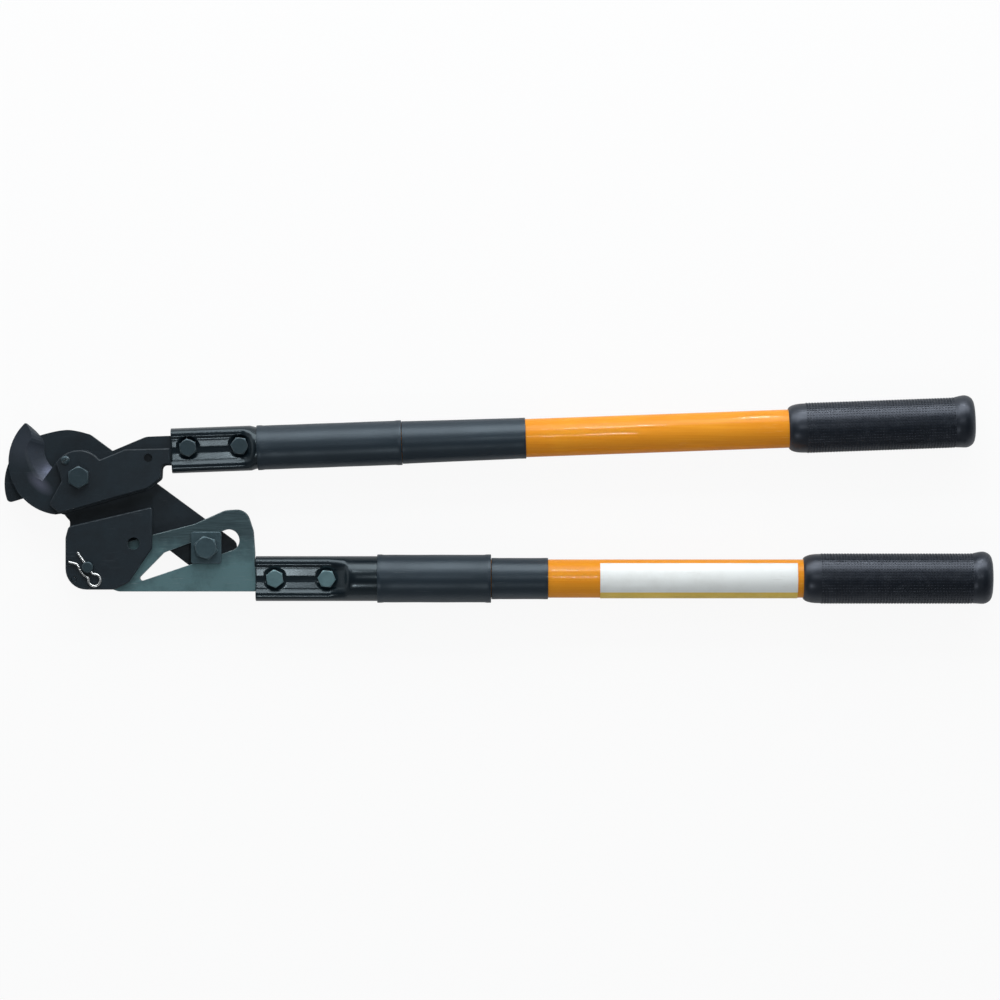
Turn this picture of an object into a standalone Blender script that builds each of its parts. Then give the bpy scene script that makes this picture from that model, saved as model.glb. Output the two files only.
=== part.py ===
"""Insulated long-handled cable cutter.

Two crossing hook blades turn on one pivot. The front blade carries the upper handle. The rear blade ends in a
clevis and a tail, which hold a slotted bracket with the lower handle. Each handle is a fibreglass tube in a
steel ferrule, with shrunk insulation and a rubber grip.

Metres, +Z up. The tool lies flat with its jaws closed. Shapes are drawn in the pivot's frame: the pivot is
the origin, X runs towards the grips, Y towards the upper handle, and Z = 0 is the shear plane of the blades.
"""
import math

import bmesh
import bpy
from mathutils import Matrix, Vector

for old in list(bpy.data.objects):
    bpy.data.objects.remove(old, do_unlink=True)

mm = 0.001
degree = math.radians(1)

# Fits
CLEARANCE = 0.3 * mm
SHEAR_GAP = 0.15 * mm
ARC_STEP = 12 * degree
FINE_FILLET = 2.0 * mm
SMALL_FILLET = 4.0 * mm
FILLET = 8.0 * mm
LARGE_FILLET = 12.0 * mm

# Layers of the head, across the shear plane
FRONT_THICKNESS = 8.85 * mm
REAR_THICKNESS = 9.85 * mm
PAD_HEIGHT = 6.0 * mm
CHEEK_THICKNESS = 5.2 * mm
EDGE_CHAMFER = 0.8 * mm

# Hook of either blade, with x along the closing axis and y towards its own tip
CLOSING_ANGLE = 167 * degree
HOOK_CENTRE_X = 16.8 * mm
HOOK_CENTRE_Y = 9.1 * mm
HOOK_RADIUS = 43.3 * mm
TIP_ANGLE = 34 * degree
HEEL_ANGLE = -100 * degree
THROAT_CENTRE_X = 13.0 * mm
THROAT_CENTRE_Y = 21.0 * mm
THROAT_RADIUS = 21.4 * mm
THROAT_END_ANGLE = -5.4 * degree
TIP_RUN_LEAD = 6.0 * mm
HUB_RADIUS = 22.7 * mm
EDGE_LAND = 1.0 * mm
BEVEL_WIDTH = 13.0 * mm

# Tube, ferrule and grip sections, shared by both handles
TUBE_RADIUS = 15.5 * mm
TUBE_WALL = 3.0 * mm
TUBE_SEAT = 5.0 * mm
FERRULE_MOUTH_WALL = 2.4 * mm
FERRULE_MOUTH_RADIUS = TUBE_RADIUS + CLEARANCE + FERRULE_MOUTH_WALL
FERRULE_WALL = 1.4 * mm
TROUGH_SHOULDER = 7.7 * mm
TROUGH_HALF_WIDTH = FERRULE_MOUTH_RADIUS - TROUGH_SHOULDER
TANG_MARGIN = 1.0 * mm
TANG_HALF_HEIGHT = TROUGH_HALF_WIDTH - TANG_MARGIN
TANG_PAST_BOLT = 7.0 * mm
TROUGH_FLANK = 2.2 * mm
TROUGH_RUN_OUT = 3.0 * mm
FERRULE_STEP = 1.0 * mm
FERRULE_BOLT_RADIUS = 4.0 * mm
FERRULE_BOLT_FLATS = 13.0 * mm
FERRULE_BOLT_HEAD = 5.0 * mm
FERRULE_NUT_HEIGHT = 5.5 * mm
BOLT_PITCH = 42.0 * mm
BOLT_PAST_NUT = 1.0 * mm
BEAD_LENGTH = 4.0 * mm
BEAD_RUN_OUT = 2.0 * mm
BEAD_HEIGHT = 0.3 * mm
GRIP_WALL = 4.4 * mm
GRIP_RADIUS = TUBE_RADIUS + CLEARANCE + GRIP_WALL
GRIP_MOUTH_WALL = 1.6 * mm
GRIP_MOUTH_RADIUS = TUBE_RADIUS + CLEARANCE + GRIP_MOUTH_WALL
GRIP_FLANGE_RISE = 1.8 * mm
GRIP_FLANGE_RADIUS = GRIP_RADIUS + GRIP_FLANGE_RISE
GRIP_FLANGE_LENGTH = 7.0 * mm
GRIP_FLANGE_RIM = 4.55 * mm
GRIP_END_TUCK = 2.0 * mm
GRIP_END_RADIUS = GRIP_RADIUS - GRIP_END_TUCK
GRIP_SHOULDER = 9.0 * mm
GRIP_END_WALL = 6.0 * mm

# Upper handle: its mouth from the pivot, then stations from that mouth
UPPER_MOUTH_X = 74.5 * mm
UPPER_MOUTH_Y = 21.4 * mm
UPPER_TILT = 2.07 * degree
UPPER_TROUGH_OFFSET = 2.0 * mm
UPPER_FIRST_BOLT = 13.5 * mm
UPPER_TROUGH_PAST_BOLT = 11.9 * mm
UPPER_TROUGH = UPPER_FIRST_BOLT + BOLT_PITCH + UPPER_TROUGH_PAST_BOLT
UPPER_BARE_LENGTH = 1.6 * mm
UPPER_FERRULE_BARE = UPPER_TROUGH + UPPER_BARE_LENGTH
UPPER_PIPE_WALL = 1.1 * mm
UPPER_PIPE_RADIUS = TUBE_RADIUS + CLEARANCE + UPPER_PIPE_WALL
UPPER_SLEEVE_STEP = 186.3 * mm
UPPER_SLEEVE_END = 286.7 * mm
UPPER_SLEEVE_WALL = 0.7 * mm
UPPER_GRIP_START = 499.8 * mm
UPPER_GRIP_END = 650.4 * mm

# Arm of the front blade, with most corners placed from the upper handle's mouth
ARM_HEEL_INSET = 17.8 * mm
ARM_HEEL_X = UPPER_MOUTH_X - ARM_HEEL_INSET
ARM_HEEL_Y = -9.4 * mm
ARM_BACK_INSET = 7.7 * mm
ARM_BACK_X = UPPER_MOUTH_X - ARM_BACK_INSET
ARM_BACK_Y = -1.5 * mm
ARM_BACK_LEAN = 0.6 * mm
ARM_SHOULDER = 2.3 * mm
ARM_HALF_HEIGHT = TANG_HALF_HEIGHT + ARM_SHOULDER
ARM_TOP_STEP = 0.4 * mm
ARM_CREST_INSET = 20.5 * mm
ARM_CREST_X = UPPER_MOUTH_X - ARM_CREST_INSET
ARM_CREST_RISE = 11.5 * mm
ARM_CREST_Y = UPPER_MOUTH_Y + ARM_CREST_RISE
ARM_NOTCH_X = 26.5 * mm
ARM_NOTCH_Y = 21.3 * mm
HUB_BLEND_ANGLE = 64 * degree
BLIND_HOLE_INSET = 18.6 * mm
BLIND_HOLE_X = UPPER_MOUTH_X - BLIND_HOLE_INSET
BLIND_HOLE_DROP = 5.7 * mm
BLIND_HOLE_Y = UPPER_MOUTH_Y - BLIND_HOLE_DROP
BLIND_HOLE_RADIUS = 3.4 * mm
BLIND_HOLE_DEPTH = 4.0 * mm

# Raised pad on the front blade
PAD_REACH = 33.0 * mm
PAD_REACH_ANGLE = 222 * degree
PAD_HUB_START = 40 * degree
PAD_HUB_END = 148 * degree
PAD_WAIST_X = -14.0 * mm
PAD_WAIST_Y = -3.0 * mm
PAD_KNEE_X = -19.5 * mm
PAD_KNEE_Y = -13.0 * mm
PAD_TOP_INSET = 37.2 * mm
PAD_TOP_BEND_X = UPPER_MOUTH_X - PAD_TOP_INSET

# Latch pin and its spring clip
PIN_X = 7.3 * mm
PIN_Y = -72.6 * mm
PIN_RADIUS = 4.6 * mm
PIN_POINT = 0.9 * mm
PIN_HEAD_RADIUS = 7.0 * mm
PIN_HEAD_HEIGHT = 3.0 * mm
PIN_END = 2.4 * mm
WIRE_RADIUS = 1.1 * mm
CLIP_ANGLE = -54.9 * degree
CLIP_LEG = 14.5 * mm
CLIP_EYE_RADIUS = 4.8 * mm
CLIP_EYE_GAP = 1.1 * mm
CLIP_EYE_X = PIN_RADIUS + CLIP_EYE_RADIUS + WIRE_RADIUS + CLIP_EYE_GAP
CLIP_EYE_Y = 1.6 * mm
CLIP_EYE_TURN = 290 * degree
CLIP_ARM_GAP = 0.4 * mm
CLIP_ARM_SPREAD = PIN_RADIUS + WIRE_RADIUS + CLEARANCE + CLIP_ARM_GAP
CLIP_ARM_CREST = 0.8 * mm
CLIP_NECK_X = -5.5 * mm
CLIP_FLARE_X = -12.4 * mm
CLIP_FLARE_Y = 3.4 * mm

# Tail, lobe and clevis of the rear blade
TONGUE_RADIUS = 11.0 * mm
SPACER_WIDTH = 6.9 * mm
SPACER_RISE = 7.6 * mm
SPACER_TOP_Y = PIN_Y + SPACER_RISE
SPACER_OUTER_END = 261 * degree
SPACER_INNER_END = 250 * degree
RIVET_RADIUS = 2.0 * mm
RIVET_DROP = 3.6 * mm
RIVET_CORNER_ANGLE = 221 * degree
TAIL_ANGLE = -37.5 * degree
TAIL_ABOVE_BOLT = 16.2 * mm
TAIL_BELOW_BOLT = 20.3 * mm
TAIL_PAST_BOLT = 22.0 * mm
TAIL_ROOT_RUN = 8.0 * mm
TAIL_ROOT_DROP = 1.0 * mm
LOBE_LEFT = PIN_X - TONGUE_RADIUS - CLEARANCE - SPACER_WIDTH
LOBE_BELOW_PIN = 18.2 * mm
LOBE_BOTTOM = PIN_Y - LOBE_BELOW_PIN
LOBE_RIGHT = 59.1 * mm
LOBE_CORNER_RADIUS = 17.0 * mm
LOBE_HUB_ANGLE = 250 * degree
CHEEK_TOP_LEFT_Y = -39.8 * mm
CHEEK_TOP_RIGHT_Y = -24.0 * mm
CHEEK_LEFT_INSET = 2.4 * mm
CHEEK_LEFT_DROP = 9.0 * mm
CHEEK_SHOULDER_RISE = 33.6 * mm
CHEEK_SHOULDER_Y = LOBE_BOTTOM + CHEEK_SHOULDER_RISE
CHEEK_CHAMFER_X = 40.5 * mm
CHEEK_CHAMFER_RISE = 6.1 * mm
CHEEK_CHAMFER_Y = LOBE_BOTTOM + CHEEK_CHAMFER_RISE
CHEEK_TOE_RUN = 12.0 * mm
SECOND_HOLE_X = 44.2 * mm
SECOND_HOLE_Y = -53.5 * mm
SECOND_HOLE_RADIUS = 5.0 * mm

# Main pivot
PIVOT_RADIUS = 6.0 * mm
PIVOT_HEAD_FLATS = 16.0 * mm
PIVOT_HEAD_HEIGHT = 5.5 * mm
BUSH_WALL = 2.0 * mm
WASHER_RADIUS = 12.0 * mm
WASHER_THICKNESS = 1.2 * mm
PIVOT_NUT_FLATS = 19.0 * mm
LOCK_SCREW_HEAD_RADIUS = 3.6 * mm
LOCK_SCREW_MARGIN = 0.7 * mm
LOCK_SCREW_REACH = HUB_RADIUS - EDGE_CHAMFER - LOCK_SCREW_HEAD_RADIUS - LOCK_SCREW_MARGIN
LOCK_SCREW_ANGLE = 128 * degree
LOCK_SCREW_HEAD_HEIGHT = 1.8 * mm
LOCK_SCREW_DOME = 1.1 * mm
LOCK_SCREW_RADIUS = 2.0 * mm
LOCK_SCREW_DEPTH = 9.0 * mm

# Slide bolt, with its keeper and the slot that it runs in
SLIDE_BOLT_X = 102.7 * mm
SLIDE_BOLT_Y = -56.9 * mm
SLIDE_BOLT_RADIUS = 5.0 * mm
SLIDE_HEAD_FLATS = 17.0 * mm
SLIDE_HEAD_HEIGHT = 5.5 * mm
SLIDE_NUT_HEIGHT = 4.6 * mm
KEEPER_WIDTH = 24.6 * mm
KEEPER_HEIGHT = 26.0 * mm
KEEPER_THICKNESS = 3.2 * mm
KEEPER_CHAMFER = 0.5 * mm
SLOT_WIDTH = 17.4 * mm
SLOT_ANGLE = 18.4 * degree
SLOT_RIGHT = 27.6 * mm
SLOT_LEFT = 59.0 * mm
SLOT_LEFT_SLANT = 22.4 * mm

# Lower handle: its mouth from the slide bolt and the pin, then stations from that mouth
LOWER_MOUTH_PAST_BOLT = 39.9 * mm
LOWER_MOUTH_X = SLIDE_BOLT_X + LOWER_MOUTH_PAST_BOLT
LOWER_AXIS_BELOW_PIN = 9.4 * mm
LOWER_MOUTH_Y = PIN_Y - LOWER_AXIS_BELOW_PIN
LOWER_FIRST_BOLT = 15.6 * mm
LOWER_TROUGH_PAST_BOLT = 16.1 * mm
LOWER_TROUGH = LOWER_FIRST_BOLT + BOLT_PITCH + LOWER_TROUGH_PAST_BOLT
LOWER_BARE_LENGTH = 24.3 * mm
LOWER_FERRULE_BARE = LOWER_TROUGH + LOWER_BARE_LENGTH
LOWER_PIPE_WALL = 2.4 * mm
LOWER_PIPE_RADIUS = TUBE_RADIUS + CLEARANCE + LOWER_PIPE_WALL
LOWER_SLEEVE_STEP = 190.4 * mm
LOWER_SLEEVE_END = 236.5 * mm
LOWER_THICK_WALL = 0.8 * mm
LOWER_THIN_WALL = 0.9 * mm
LOWER_GRIP_START = 443.0 * mm
LOWER_GRIP_END = 596.2 * mm
LABEL_FRONT_MARGIN = 42.1 * mm
LABEL_START = LOWER_SLEEVE_END + LABEL_FRONT_MARGIN
LABEL_REAR_MARGIN = 4.8 * mm
LABEL_END = LOWER_GRIP_START - LABEL_REAR_MARGIN
LABEL_THICKNESS = 0.3 * mm
LABEL_TOP_ANGLE = 38 * degree
LABEL_BOTTOM_ANGLE = 185 * degree

# Bracket's outline, from the slide bolt and the lower handle's mouth
BRACKET_BELOW_TANG = 0.9 * mm
BRACKET_BOTTOM = LOWER_MOUTH_Y - TANG_HALF_HEIGHT - BRACKET_BELOW_TANG
BRACKET_TOE_X = 31.6 * mm
BRACKET_ABOVE_MOUTH = 3.0 * mm
BRACKET_MOUTH_RISE = FERRULE_MOUTH_RADIUS + BRACKET_ABOVE_MOUTH
BRACKET_LEAN = 1.2 * mm
BRACKET_CREST_LEFT_INSET = 24.7 * mm
BRACKET_CREST_LEFT = LOWER_MOUTH_X - BRACKET_CREST_LEFT_INSET
BRACKET_CREST_RIGHT_INSET = 7.7 * mm
BRACKET_CREST_RIGHT = LOWER_MOUTH_X - BRACKET_CREST_RIGHT_INSET
BRACKET_CREST_RISE = 31.3 * mm
BRACKET_CREST_Y = SLIDE_BOLT_Y + BRACKET_CREST_RISE
BRACKET_CREST_FALL = 1.0 * mm
BRACKET_CREST_DROP = 18.0 * mm
BRACKET_NECK_INSET = 9.5 * mm
BRACKET_NECK_X = SLIDE_BOLT_X - BRACKET_NECK_INSET
BRACKET_NECK_RISE = 19.2 * mm
BRACKET_NECK_Y = SLIDE_BOLT_Y + BRACKET_NECK_RISE
BRACKET_SHOULDER_INSET = 39.5 * mm
BRACKET_SHOULDER_X = SLIDE_BOLT_X - BRACKET_SHOULDER_INSET
BRACKET_SHOULDER_RISE = 11.5 * mm
BRACKET_SHOULDER_Y = SLIDE_BOLT_Y + BRACKET_SHOULDER_RISE
TONGUE_START = 115 * degree
TONGUE_END = 262 * degree

# Heights that follow from the layers
REAR_FACE = -SHEAR_GAP
REAR_BACK = REAR_FACE - REAR_THICKNESS
FRONT_FACE = SHEAR_GAP
FRONT_TOP = FRONT_FACE + FRONT_THICKNESS
PAD_TOP = FRONT_TOP + PAD_HEIGHT
CHEEK_LOW = FRONT_TOP + CLEARANCE
CHEEK_TOP = CHEEK_LOW + CHEEK_THICKNESS
KEEPER_LOW = FRONT_TOP + CLEARANCE
KEEPER_TOP = KEEPER_LOW + KEEPER_THICKNESS
HANDLE_AXIS_Z = (FRONT_FACE + FRONT_TOP) / 2
SHEAR_HEIGHT = GRIP_FLANGE_RADIUS - HANDLE_AXIS_Z
FERRULE_FLAT = FRONT_THICKNESS / 2 + CLEARANCE + FERRULE_WALL
CLIP_HEIGHT = CHEEK_TOP + CLEARANCE + WIRE_RADIUS

PIVOT = Vector((0.0, 0.0))
PIN = Vector((PIN_X, PIN_Y))
SLIDE_BOLT = Vector((SLIDE_BOLT_X, SLIDE_BOLT_Y))
HOOK_CENTRE = Vector((HOOK_CENTRE_X, HOOK_CENTRE_Y))
THROAT_CENTRE = Vector((THROAT_CENTRE_X, THROAT_CENTRE_Y))
ROUND_SIDES = 24
RIVET_SIDES = 12
HANDLE_SIDES = 28
PRESSED_STEPS = (3, 1, 6, 1, 3)
LABEL_STEPS = 12
SMOOTH_ANGLE = 35 * degree
SAME_POINT = 0.001 * mm
HEX_CORNER_BREAK = 0.06
HEX_FACE_SHARE = 0.94
TIP_BREAK = 0.15


def material(name, colour, roughness, metallic):
    """A Principled material of one colour."""
    made = bpy.data.materials.new(name)
    made.use_nodes = True
    shader = made.node_tree.nodes["Principled BSDF"]
    shader.inputs["Base Color"].default_value = (*colour, 1.0)
    shader.inputs["Roughness"].default_value = roughness
    shader.inputs["Metallic"].default_value = metallic
    return made


FINISHES = {
    "black_steel": ((0.035, 0.042, 0.05), 0.45, 0.6),
    "brushed_steel": ((0.30, 0.34, 0.36), 0.4, 0.9),
    "bolt_steel": ((0.06, 0.07, 0.08), 0.4, 0.7),
    "zinc_wire": ((0.75, 0.76, 0.76), 0.25, 1.0),
    "bronze": ((0.45, 0.30, 0.14), 0.4, 0.9),
    "black_sleeve": ((0.02, 0.023, 0.028), 0.55, 0.0),
    "orange_tube": ((0.85, 0.30, 0.02), 0.25, 0.0),
    "black_rubber": ((0.018, 0.02, 0.023), 0.7, 0.0),
    "white_label": ((0.85, 0.85, 0.82), 0.4, 0.0),
}


def frame(name, parent, location, turn=0.0):
    """An empty that carries pieces, turned about Z."""
    empty = bpy.data.objects.new(name, None)
    bpy.context.collection.objects.link(empty)
    empty.parent = parent
    empty.location = location
    empty.rotation_euler = (0.0, 0.0, turn)
    return empty


def piece(name, bm, finish, parent):
    """Turn a finished bmesh into a named object with its own material."""
    mesh = bpy.data.meshes.new(name)
    bm.to_mesh(mesh)
    bm.free()
    mesh.shade_smooth()
    mesh.set_sharp_from_angle(angle=SMOOTH_ANGLE)
    made = bpy.data.objects.new(name, mesh)
    bpy.context.collection.objects.link(made)
    made.parent = parent
    mesh.materials.append(material(name + "_finish", *FINISHES[finish]))
    return made


def cutter(name, bm, parent):
    """A hidden solid for a Boolean cut or join."""
    made = piece(name, bm, "black_steel", parent)
    made.hide_render = True
    made.display_type = "WIRE"
    return made


def boolean(target, tool, operation="DIFFERENCE"):
    """Cut a hidden solid out of a piece, or join it on."""
    change = target.modifiers.new(tool.name, "BOOLEAN")
    change.operation = operation
    change.solver = "EXACT"
    change.object = tool


def arc(centre, radius, start, end):
    """Points of an arc, both ends included."""
    steps = max(2, math.ceil(abs(end - start) / ARC_STEP))
    angles = [start + (end - start) * i / steps for i in range(steps + 1)]
    return [centre + radius * Vector((math.cos(a), math.sin(a))) for a in angles]


def curve(start, control, end, steps=6):
    """Points of a quadratic curve, both ends included."""
    shares = [i / steps for i in range(steps + 1)]
    return [(1 - t) ** 2 * start + 2 * t * (1 - t) * control + t ** 2 * end for t in shares]


def rounded(corners):
    """A closed outline through (x, y, radius) corners, each rounded by an arc."""
    points = []
    for i, (x, y, radius) in enumerate(corners):
        here = Vector((x, y))
        back = Vector(corners[i - 1][:2]) - here
        ahead = Vector(corners[(i + 1) % len(corners)][:2]) - here
        if radius == 0:
            points.append(here)
            continue
        half = back.angle(ahead) / 2
        setback = min(radius / math.tan(half), 0.49 * back.length, 0.49 * ahead.length)
        centre = here + (back.normalized() + ahead.normalized()).normalized() * setback / math.cos(half)
        first = here + back.normalized() * setback - centre
        turn = -first.angle_signed(here + ahead.normalized() * setback - centre)
        start = math.atan2(first.y, first.x)
        points += arc(centre, first.length, start, start + turn)
    return points


def loft(bm, rings, loop=False):
    """Skin equal rings of points into a closed body; a loop joins the last ring to the first."""
    rows = [[bm.verts.new(point) for point in ring] for ring in rings]
    pairs = list(zip(rows, rows[1:]))
    if loop:
        pairs.append((rows[-1], rows[0]))
    for low, high in pairs:
        for i in range(len(low)):
            j = (i + 1) % len(low)
            bm.faces.new((low[i], low[j], high[j], high[i]))
    if not loop:
        bm.faces.new(rows[0])
        bm.faces.new(rows[-1])
    bmesh.ops.remove_doubles(bm, verts=bm.verts, dist=SAME_POINT)
    bmesh.ops.recalc_face_normals(bm, faces=bm.faces)


def plate(outline, low, high, chamfer=EDGE_CHAMFER):
    """A flat plate of one outline, with its top and bottom edges broken."""
    bm = bmesh.new()
    loft(bm, [[(p.x, p.y, z) for p in outline] for z in (low, high)])
    if chamfer:
        rim = [e for e in bm.edges if abs(e.verts[0].co.z - e.verts[1].co.z) < SAME_POINT]
        bmesh.ops.bevel(bm, geom=rim, offset=chamfer, segments=1, affect="EDGES", clamp_overlap=True)
    return bm


def disc(centre, radius, z, sides=ROUND_SIDES):
    """A ring of points on a circle about a Z axis."""
    angles = [2 * math.pi * i / sides for i in range(sides)]
    return [(centre.x + radius * math.cos(a), centre.y + radius * math.sin(a), z) for a in angles]


def hexagon(centre, flats, z, sides=ROUND_SIDES):
    """A ring of points on a hexagon about a Z axis, as many as a disc has."""
    ring = []
    for i in range(sides):
        angle = 2 * math.pi * i / sides
        off_flat = (angle + math.pi / 6) % (math.pi / 3) - math.pi / 6
        reach = flats / 2 / math.cos(off_flat)
        ring.append((centre.x + reach * math.cos(angle), centre.y + reach * math.sin(angle), z))
    return ring


def cylinder(bm, centre, radius, low, high, sides=ROUND_SIDES):
    """A plain round bar along Z."""
    loft(bm, [disc(centre, radius, z, sides) for z in (low, high)])


def hex_bolt(bm, centre, shank, flats, tip, seat, head):
    """A hex head on a round shank, from its tip up to its head."""
    top = seat + head
    tip_break = TIP_BREAK * shank
    rings = [disc(centre, shank - tip_break, tip), disc(centre, shank, tip + tip_break)]
    rings += [disc(centre, shank, seat), hexagon(centre, flats, seat)]
    rings += [hexagon(centre, flats, top - HEX_CORNER_BREAK * flats)]
    rings += [disc(centre, flats / 2 * HEX_FACE_SHARE, top)]
    loft(bm, rings)


def hex_nut(bm, centre, bore, flats, low, high):
    """A hex nut round a bore, with its lower corners broken."""
    rings = [disc(centre, bore, high), hexagon(centre, flats, high)]
    rings += [hexagon(centre, flats, low + HEX_CORNER_BREAK * flats)]
    rings += [disc(centre, flats / 2 * HEX_FACE_SHARE, low), disc(centre, bore, low)]
    loft(bm, rings, loop=True)


def ring_plate(bm, centre, inner, outer, low, high):
    """A round washer or bush along Z."""
    rings = [disc(centre, outer, low), disc(centre, outer, high)]
    rings += [disc(centre, inner, high), disc(centre, inner, low)]
    loft(bm, rings, loop=True)


def holes(name, places, low, high, parent):
    """Round cutters along Z at (centre, radius) places."""
    bm = bmesh.new()
    for centre, radius in places:
        cylinder(bm, centre, radius, low, high)
    return cutter(name, bm, parent)


# Frames: the pivot in the part's own frame, the swinging half on it, and the two handles
upper_axis = Vector((math.cos(UPPER_TILT), math.sin(UPPER_TILT)))
grip_side = max(LOWER_MOUTH_X + LOWER_GRIP_END, UPPER_MOUTH_X + UPPER_GRIP_END * upper_axis.x)
upper_rim = UPPER_MOUTH_Y + UPPER_GRIP_END * upper_axis.y + GRIP_FLANGE_RADIUS * upper_axis.x
lower_rim = LOWER_MOUTH_Y - GRIP_FLANGE_RADIUS


def blade_point(local, side):
    """A point of a hook in the pivot's frame; side is 1 for the front blade and -1 for the rear one."""
    along = Vector((math.cos(CLOSING_ANGLE), math.sin(CLOSING_ANGLE)))
    across = Vector((along.y, -along.x))
    return local.x * along + side * local.y * across


def hook(side, bevel):
    """A hook's outline from the hub round the cutting edge and tip to the heel, moved back by a bevel."""
    apart = THROAT_CENTRE.length
    share = (apart ** 2 + THROAT_RADIUS ** 2 - HUB_RADIUS ** 2) / (2 * apart * THROAT_RADIUS)
    to_hub = math.atan2(-THROAT_CENTRE.y, -THROAT_CENTRE.x) + math.acos(share)
    throat = arc(THROAT_CENTRE, THROAT_RADIUS + bevel, to_hub, THROAT_END_ANGLE)
    outward = Vector((math.cos(THROAT_END_ANGLE), math.sin(THROAT_END_ANGLE)))
    throat_end = THROAT_CENTRE + THROAT_RADIUS * outward
    tip = HOOK_CENTRE + HOOK_RADIUS * Vector((math.cos(TIP_ANGLE), math.sin(TIP_ANGLE)))
    lead = throat_end + TIP_RUN_LEAD * Vector((-outward.y, outward.x))
    run = curve(throat_end, lead, tip)
    last = len(run) - 1
    run = [point + outward * bevel * (1 - i / last) for i, point in enumerate(run)]
    back = arc(HOOK_CENTRE, HOOK_RADIUS, TIP_ANGLE, HEEL_ANGLE)
    return [blade_point(point, side) for point in throat + run[1:] + back[1:]]


def blade(outline_of, edge_z, back_z):
    """Loft a blade from its shear face to its back, with the hook's bevel ground into the back."""
    land_z = edge_z + math.copysign(EDGE_LAND, back_z - edge_z)
    bm = bmesh.new()
    levels = [(outline_of(0.0), edge_z), (outline_of(0.0), land_z), (outline_of(BEVEL_WIDTH), back_z)]
    loft(bm, [[(p.x, p.y, z) for p in outline] for outline, z in levels])
    return bm


def upper_place(x, y):
    """A point of the upper handle's own frame, in the pivot's frame."""
    across = Vector((-upper_axis.y, upper_axis.x))
    return Vector((UPPER_MOUTH_X, UPPER_MOUTH_Y)) + x * upper_axis + y * across


hook_side = HOOK_RADIUS - blade_point(HOOK_CENTRE, -1).x
middle_x = (grip_side - hook_side) / 2
middle_y = (upper_rim + lower_rim) / 2
root = frame("cutter_frame", None, (-middle_x, -middle_y, SHEAR_HEIGHT))
swinging = frame("swinging_half", root, (0.0, 0.0, 0.0))
upper_handle = frame("upper_handle", root, (UPPER_MOUTH_X, UPPER_MOUTH_Y, HANDLE_AXIS_Z), UPPER_TILT)
lower_handle = frame("lower_handle", swinging, (LOWER_MOUTH_X, LOWER_MOUTH_Y, HANDLE_AXIS_Z))
clip_frame = frame("clip_slide", swinging, (PIN_X, PIN_Y, CLIP_HEIGHT), CLIP_ANGLE)


def corner_list(points):
    """Points of an outline as sharp corners, for use beside rounded ones."""
    return [(point.x, point.y, 0.0) for point in points]


def hub_arc(hook_start, start):
    """The hub's edge from a given angle to where the hook's throat begins, that point left out."""
    end = math.atan2(hook_start.y, hook_start.x)
    if end < 0:
        end += 2 * math.pi
    return arc(PIVOT, HUB_RADIUS, start, end)[:-1]


def front_outline(bevel):
    """The front blade: hook, heel, arm, tang and hub."""
    edge = hook(1, bevel)
    arm_end = -2 * CLEARANCE
    tang_end = UPPER_FIRST_BOLT + BOLT_PITCH + TANG_PAST_BOLT
    tang_low = UPPER_TROUGH_OFFSET - TANG_HALF_HEIGHT
    tang_high = UPPER_TROUGH_OFFSET + TANG_HALF_HEIGHT
    arm_low = upper_place(arm_end, -ARM_HALF_HEIGHT)
    corners = corner_list(edge)
    corners += [(ARM_HEEL_X, ARM_HEEL_Y, FILLET), (ARM_BACK_X, ARM_BACK_Y, SMALL_FILLET)]
    corners += [(ARM_BACK_X + ARM_BACK_LEAN, arm_low.y, SMALL_FILLET), (arm_low.x, arm_low.y, 0)]
    corners += corner_list([upper_place(arm_end, tang_low), upper_place(tang_end, tang_low)])
    corners += corner_list([upper_place(tang_end, tang_high), upper_place(arm_end, tang_high)])
    corners += corner_list([upper_place(arm_end, ARM_HALF_HEIGHT + ARM_TOP_STEP)])
    corners += [(ARM_CREST_X, ARM_CREST_Y, LARGE_FILLET), (ARM_NOTCH_X, ARM_NOTCH_Y, FILLET)]
    corners += corner_list(hub_arc(hook(1, 0.0)[0], HUB_BLEND_ANGLE))
    return rounded(corners)


def pad_outline():
    """The raised pad on the front blade, round the hub and along the arm."""
    step = EDGE_CHAMFER
    heel = hook(1, 0.0)[-1]
    arm_end = -4 * CLEARANCE
    arm_low = upper_place(arm_end, step - ARM_HALF_HEIGHT)
    arm_high = upper_place(arm_end, UPPER_TROUGH_OFFSET)
    reach = PAD_REACH * Vector((math.cos(PAD_REACH_ANGLE), math.sin(PAD_REACH_ANGLE)))
    corners = corner_list(arc(PIVOT, HUB_RADIUS - step, PAD_HUB_START, PAD_HUB_END))
    corners += [(PAD_WAIST_X, PAD_WAIST_Y, FINE_FILLET), (PAD_KNEE_X, PAD_KNEE_Y, FINE_FILLET)]
    corners += [(reach.x, reach.y, SMALL_FILLET), (heel.x + step, heel.y + 2 * step, FINE_FILLET)]
    corners += [(ARM_HEEL_X - step, ARM_HEEL_Y + step, FILLET)]
    corners += [(ARM_BACK_X - step, ARM_BACK_Y + step, SMALL_FILLET)]
    corners += [(ARM_BACK_X, arm_low.y, SMALL_FILLET)]
    corners += [(arm_low.x, arm_low.y, 0), (arm_high.x, arm_high.y, 0)]
    corners += [(PAD_TOP_BEND_X, arm_high.y - step, FILLET)]
    return rounded(corners)


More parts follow.
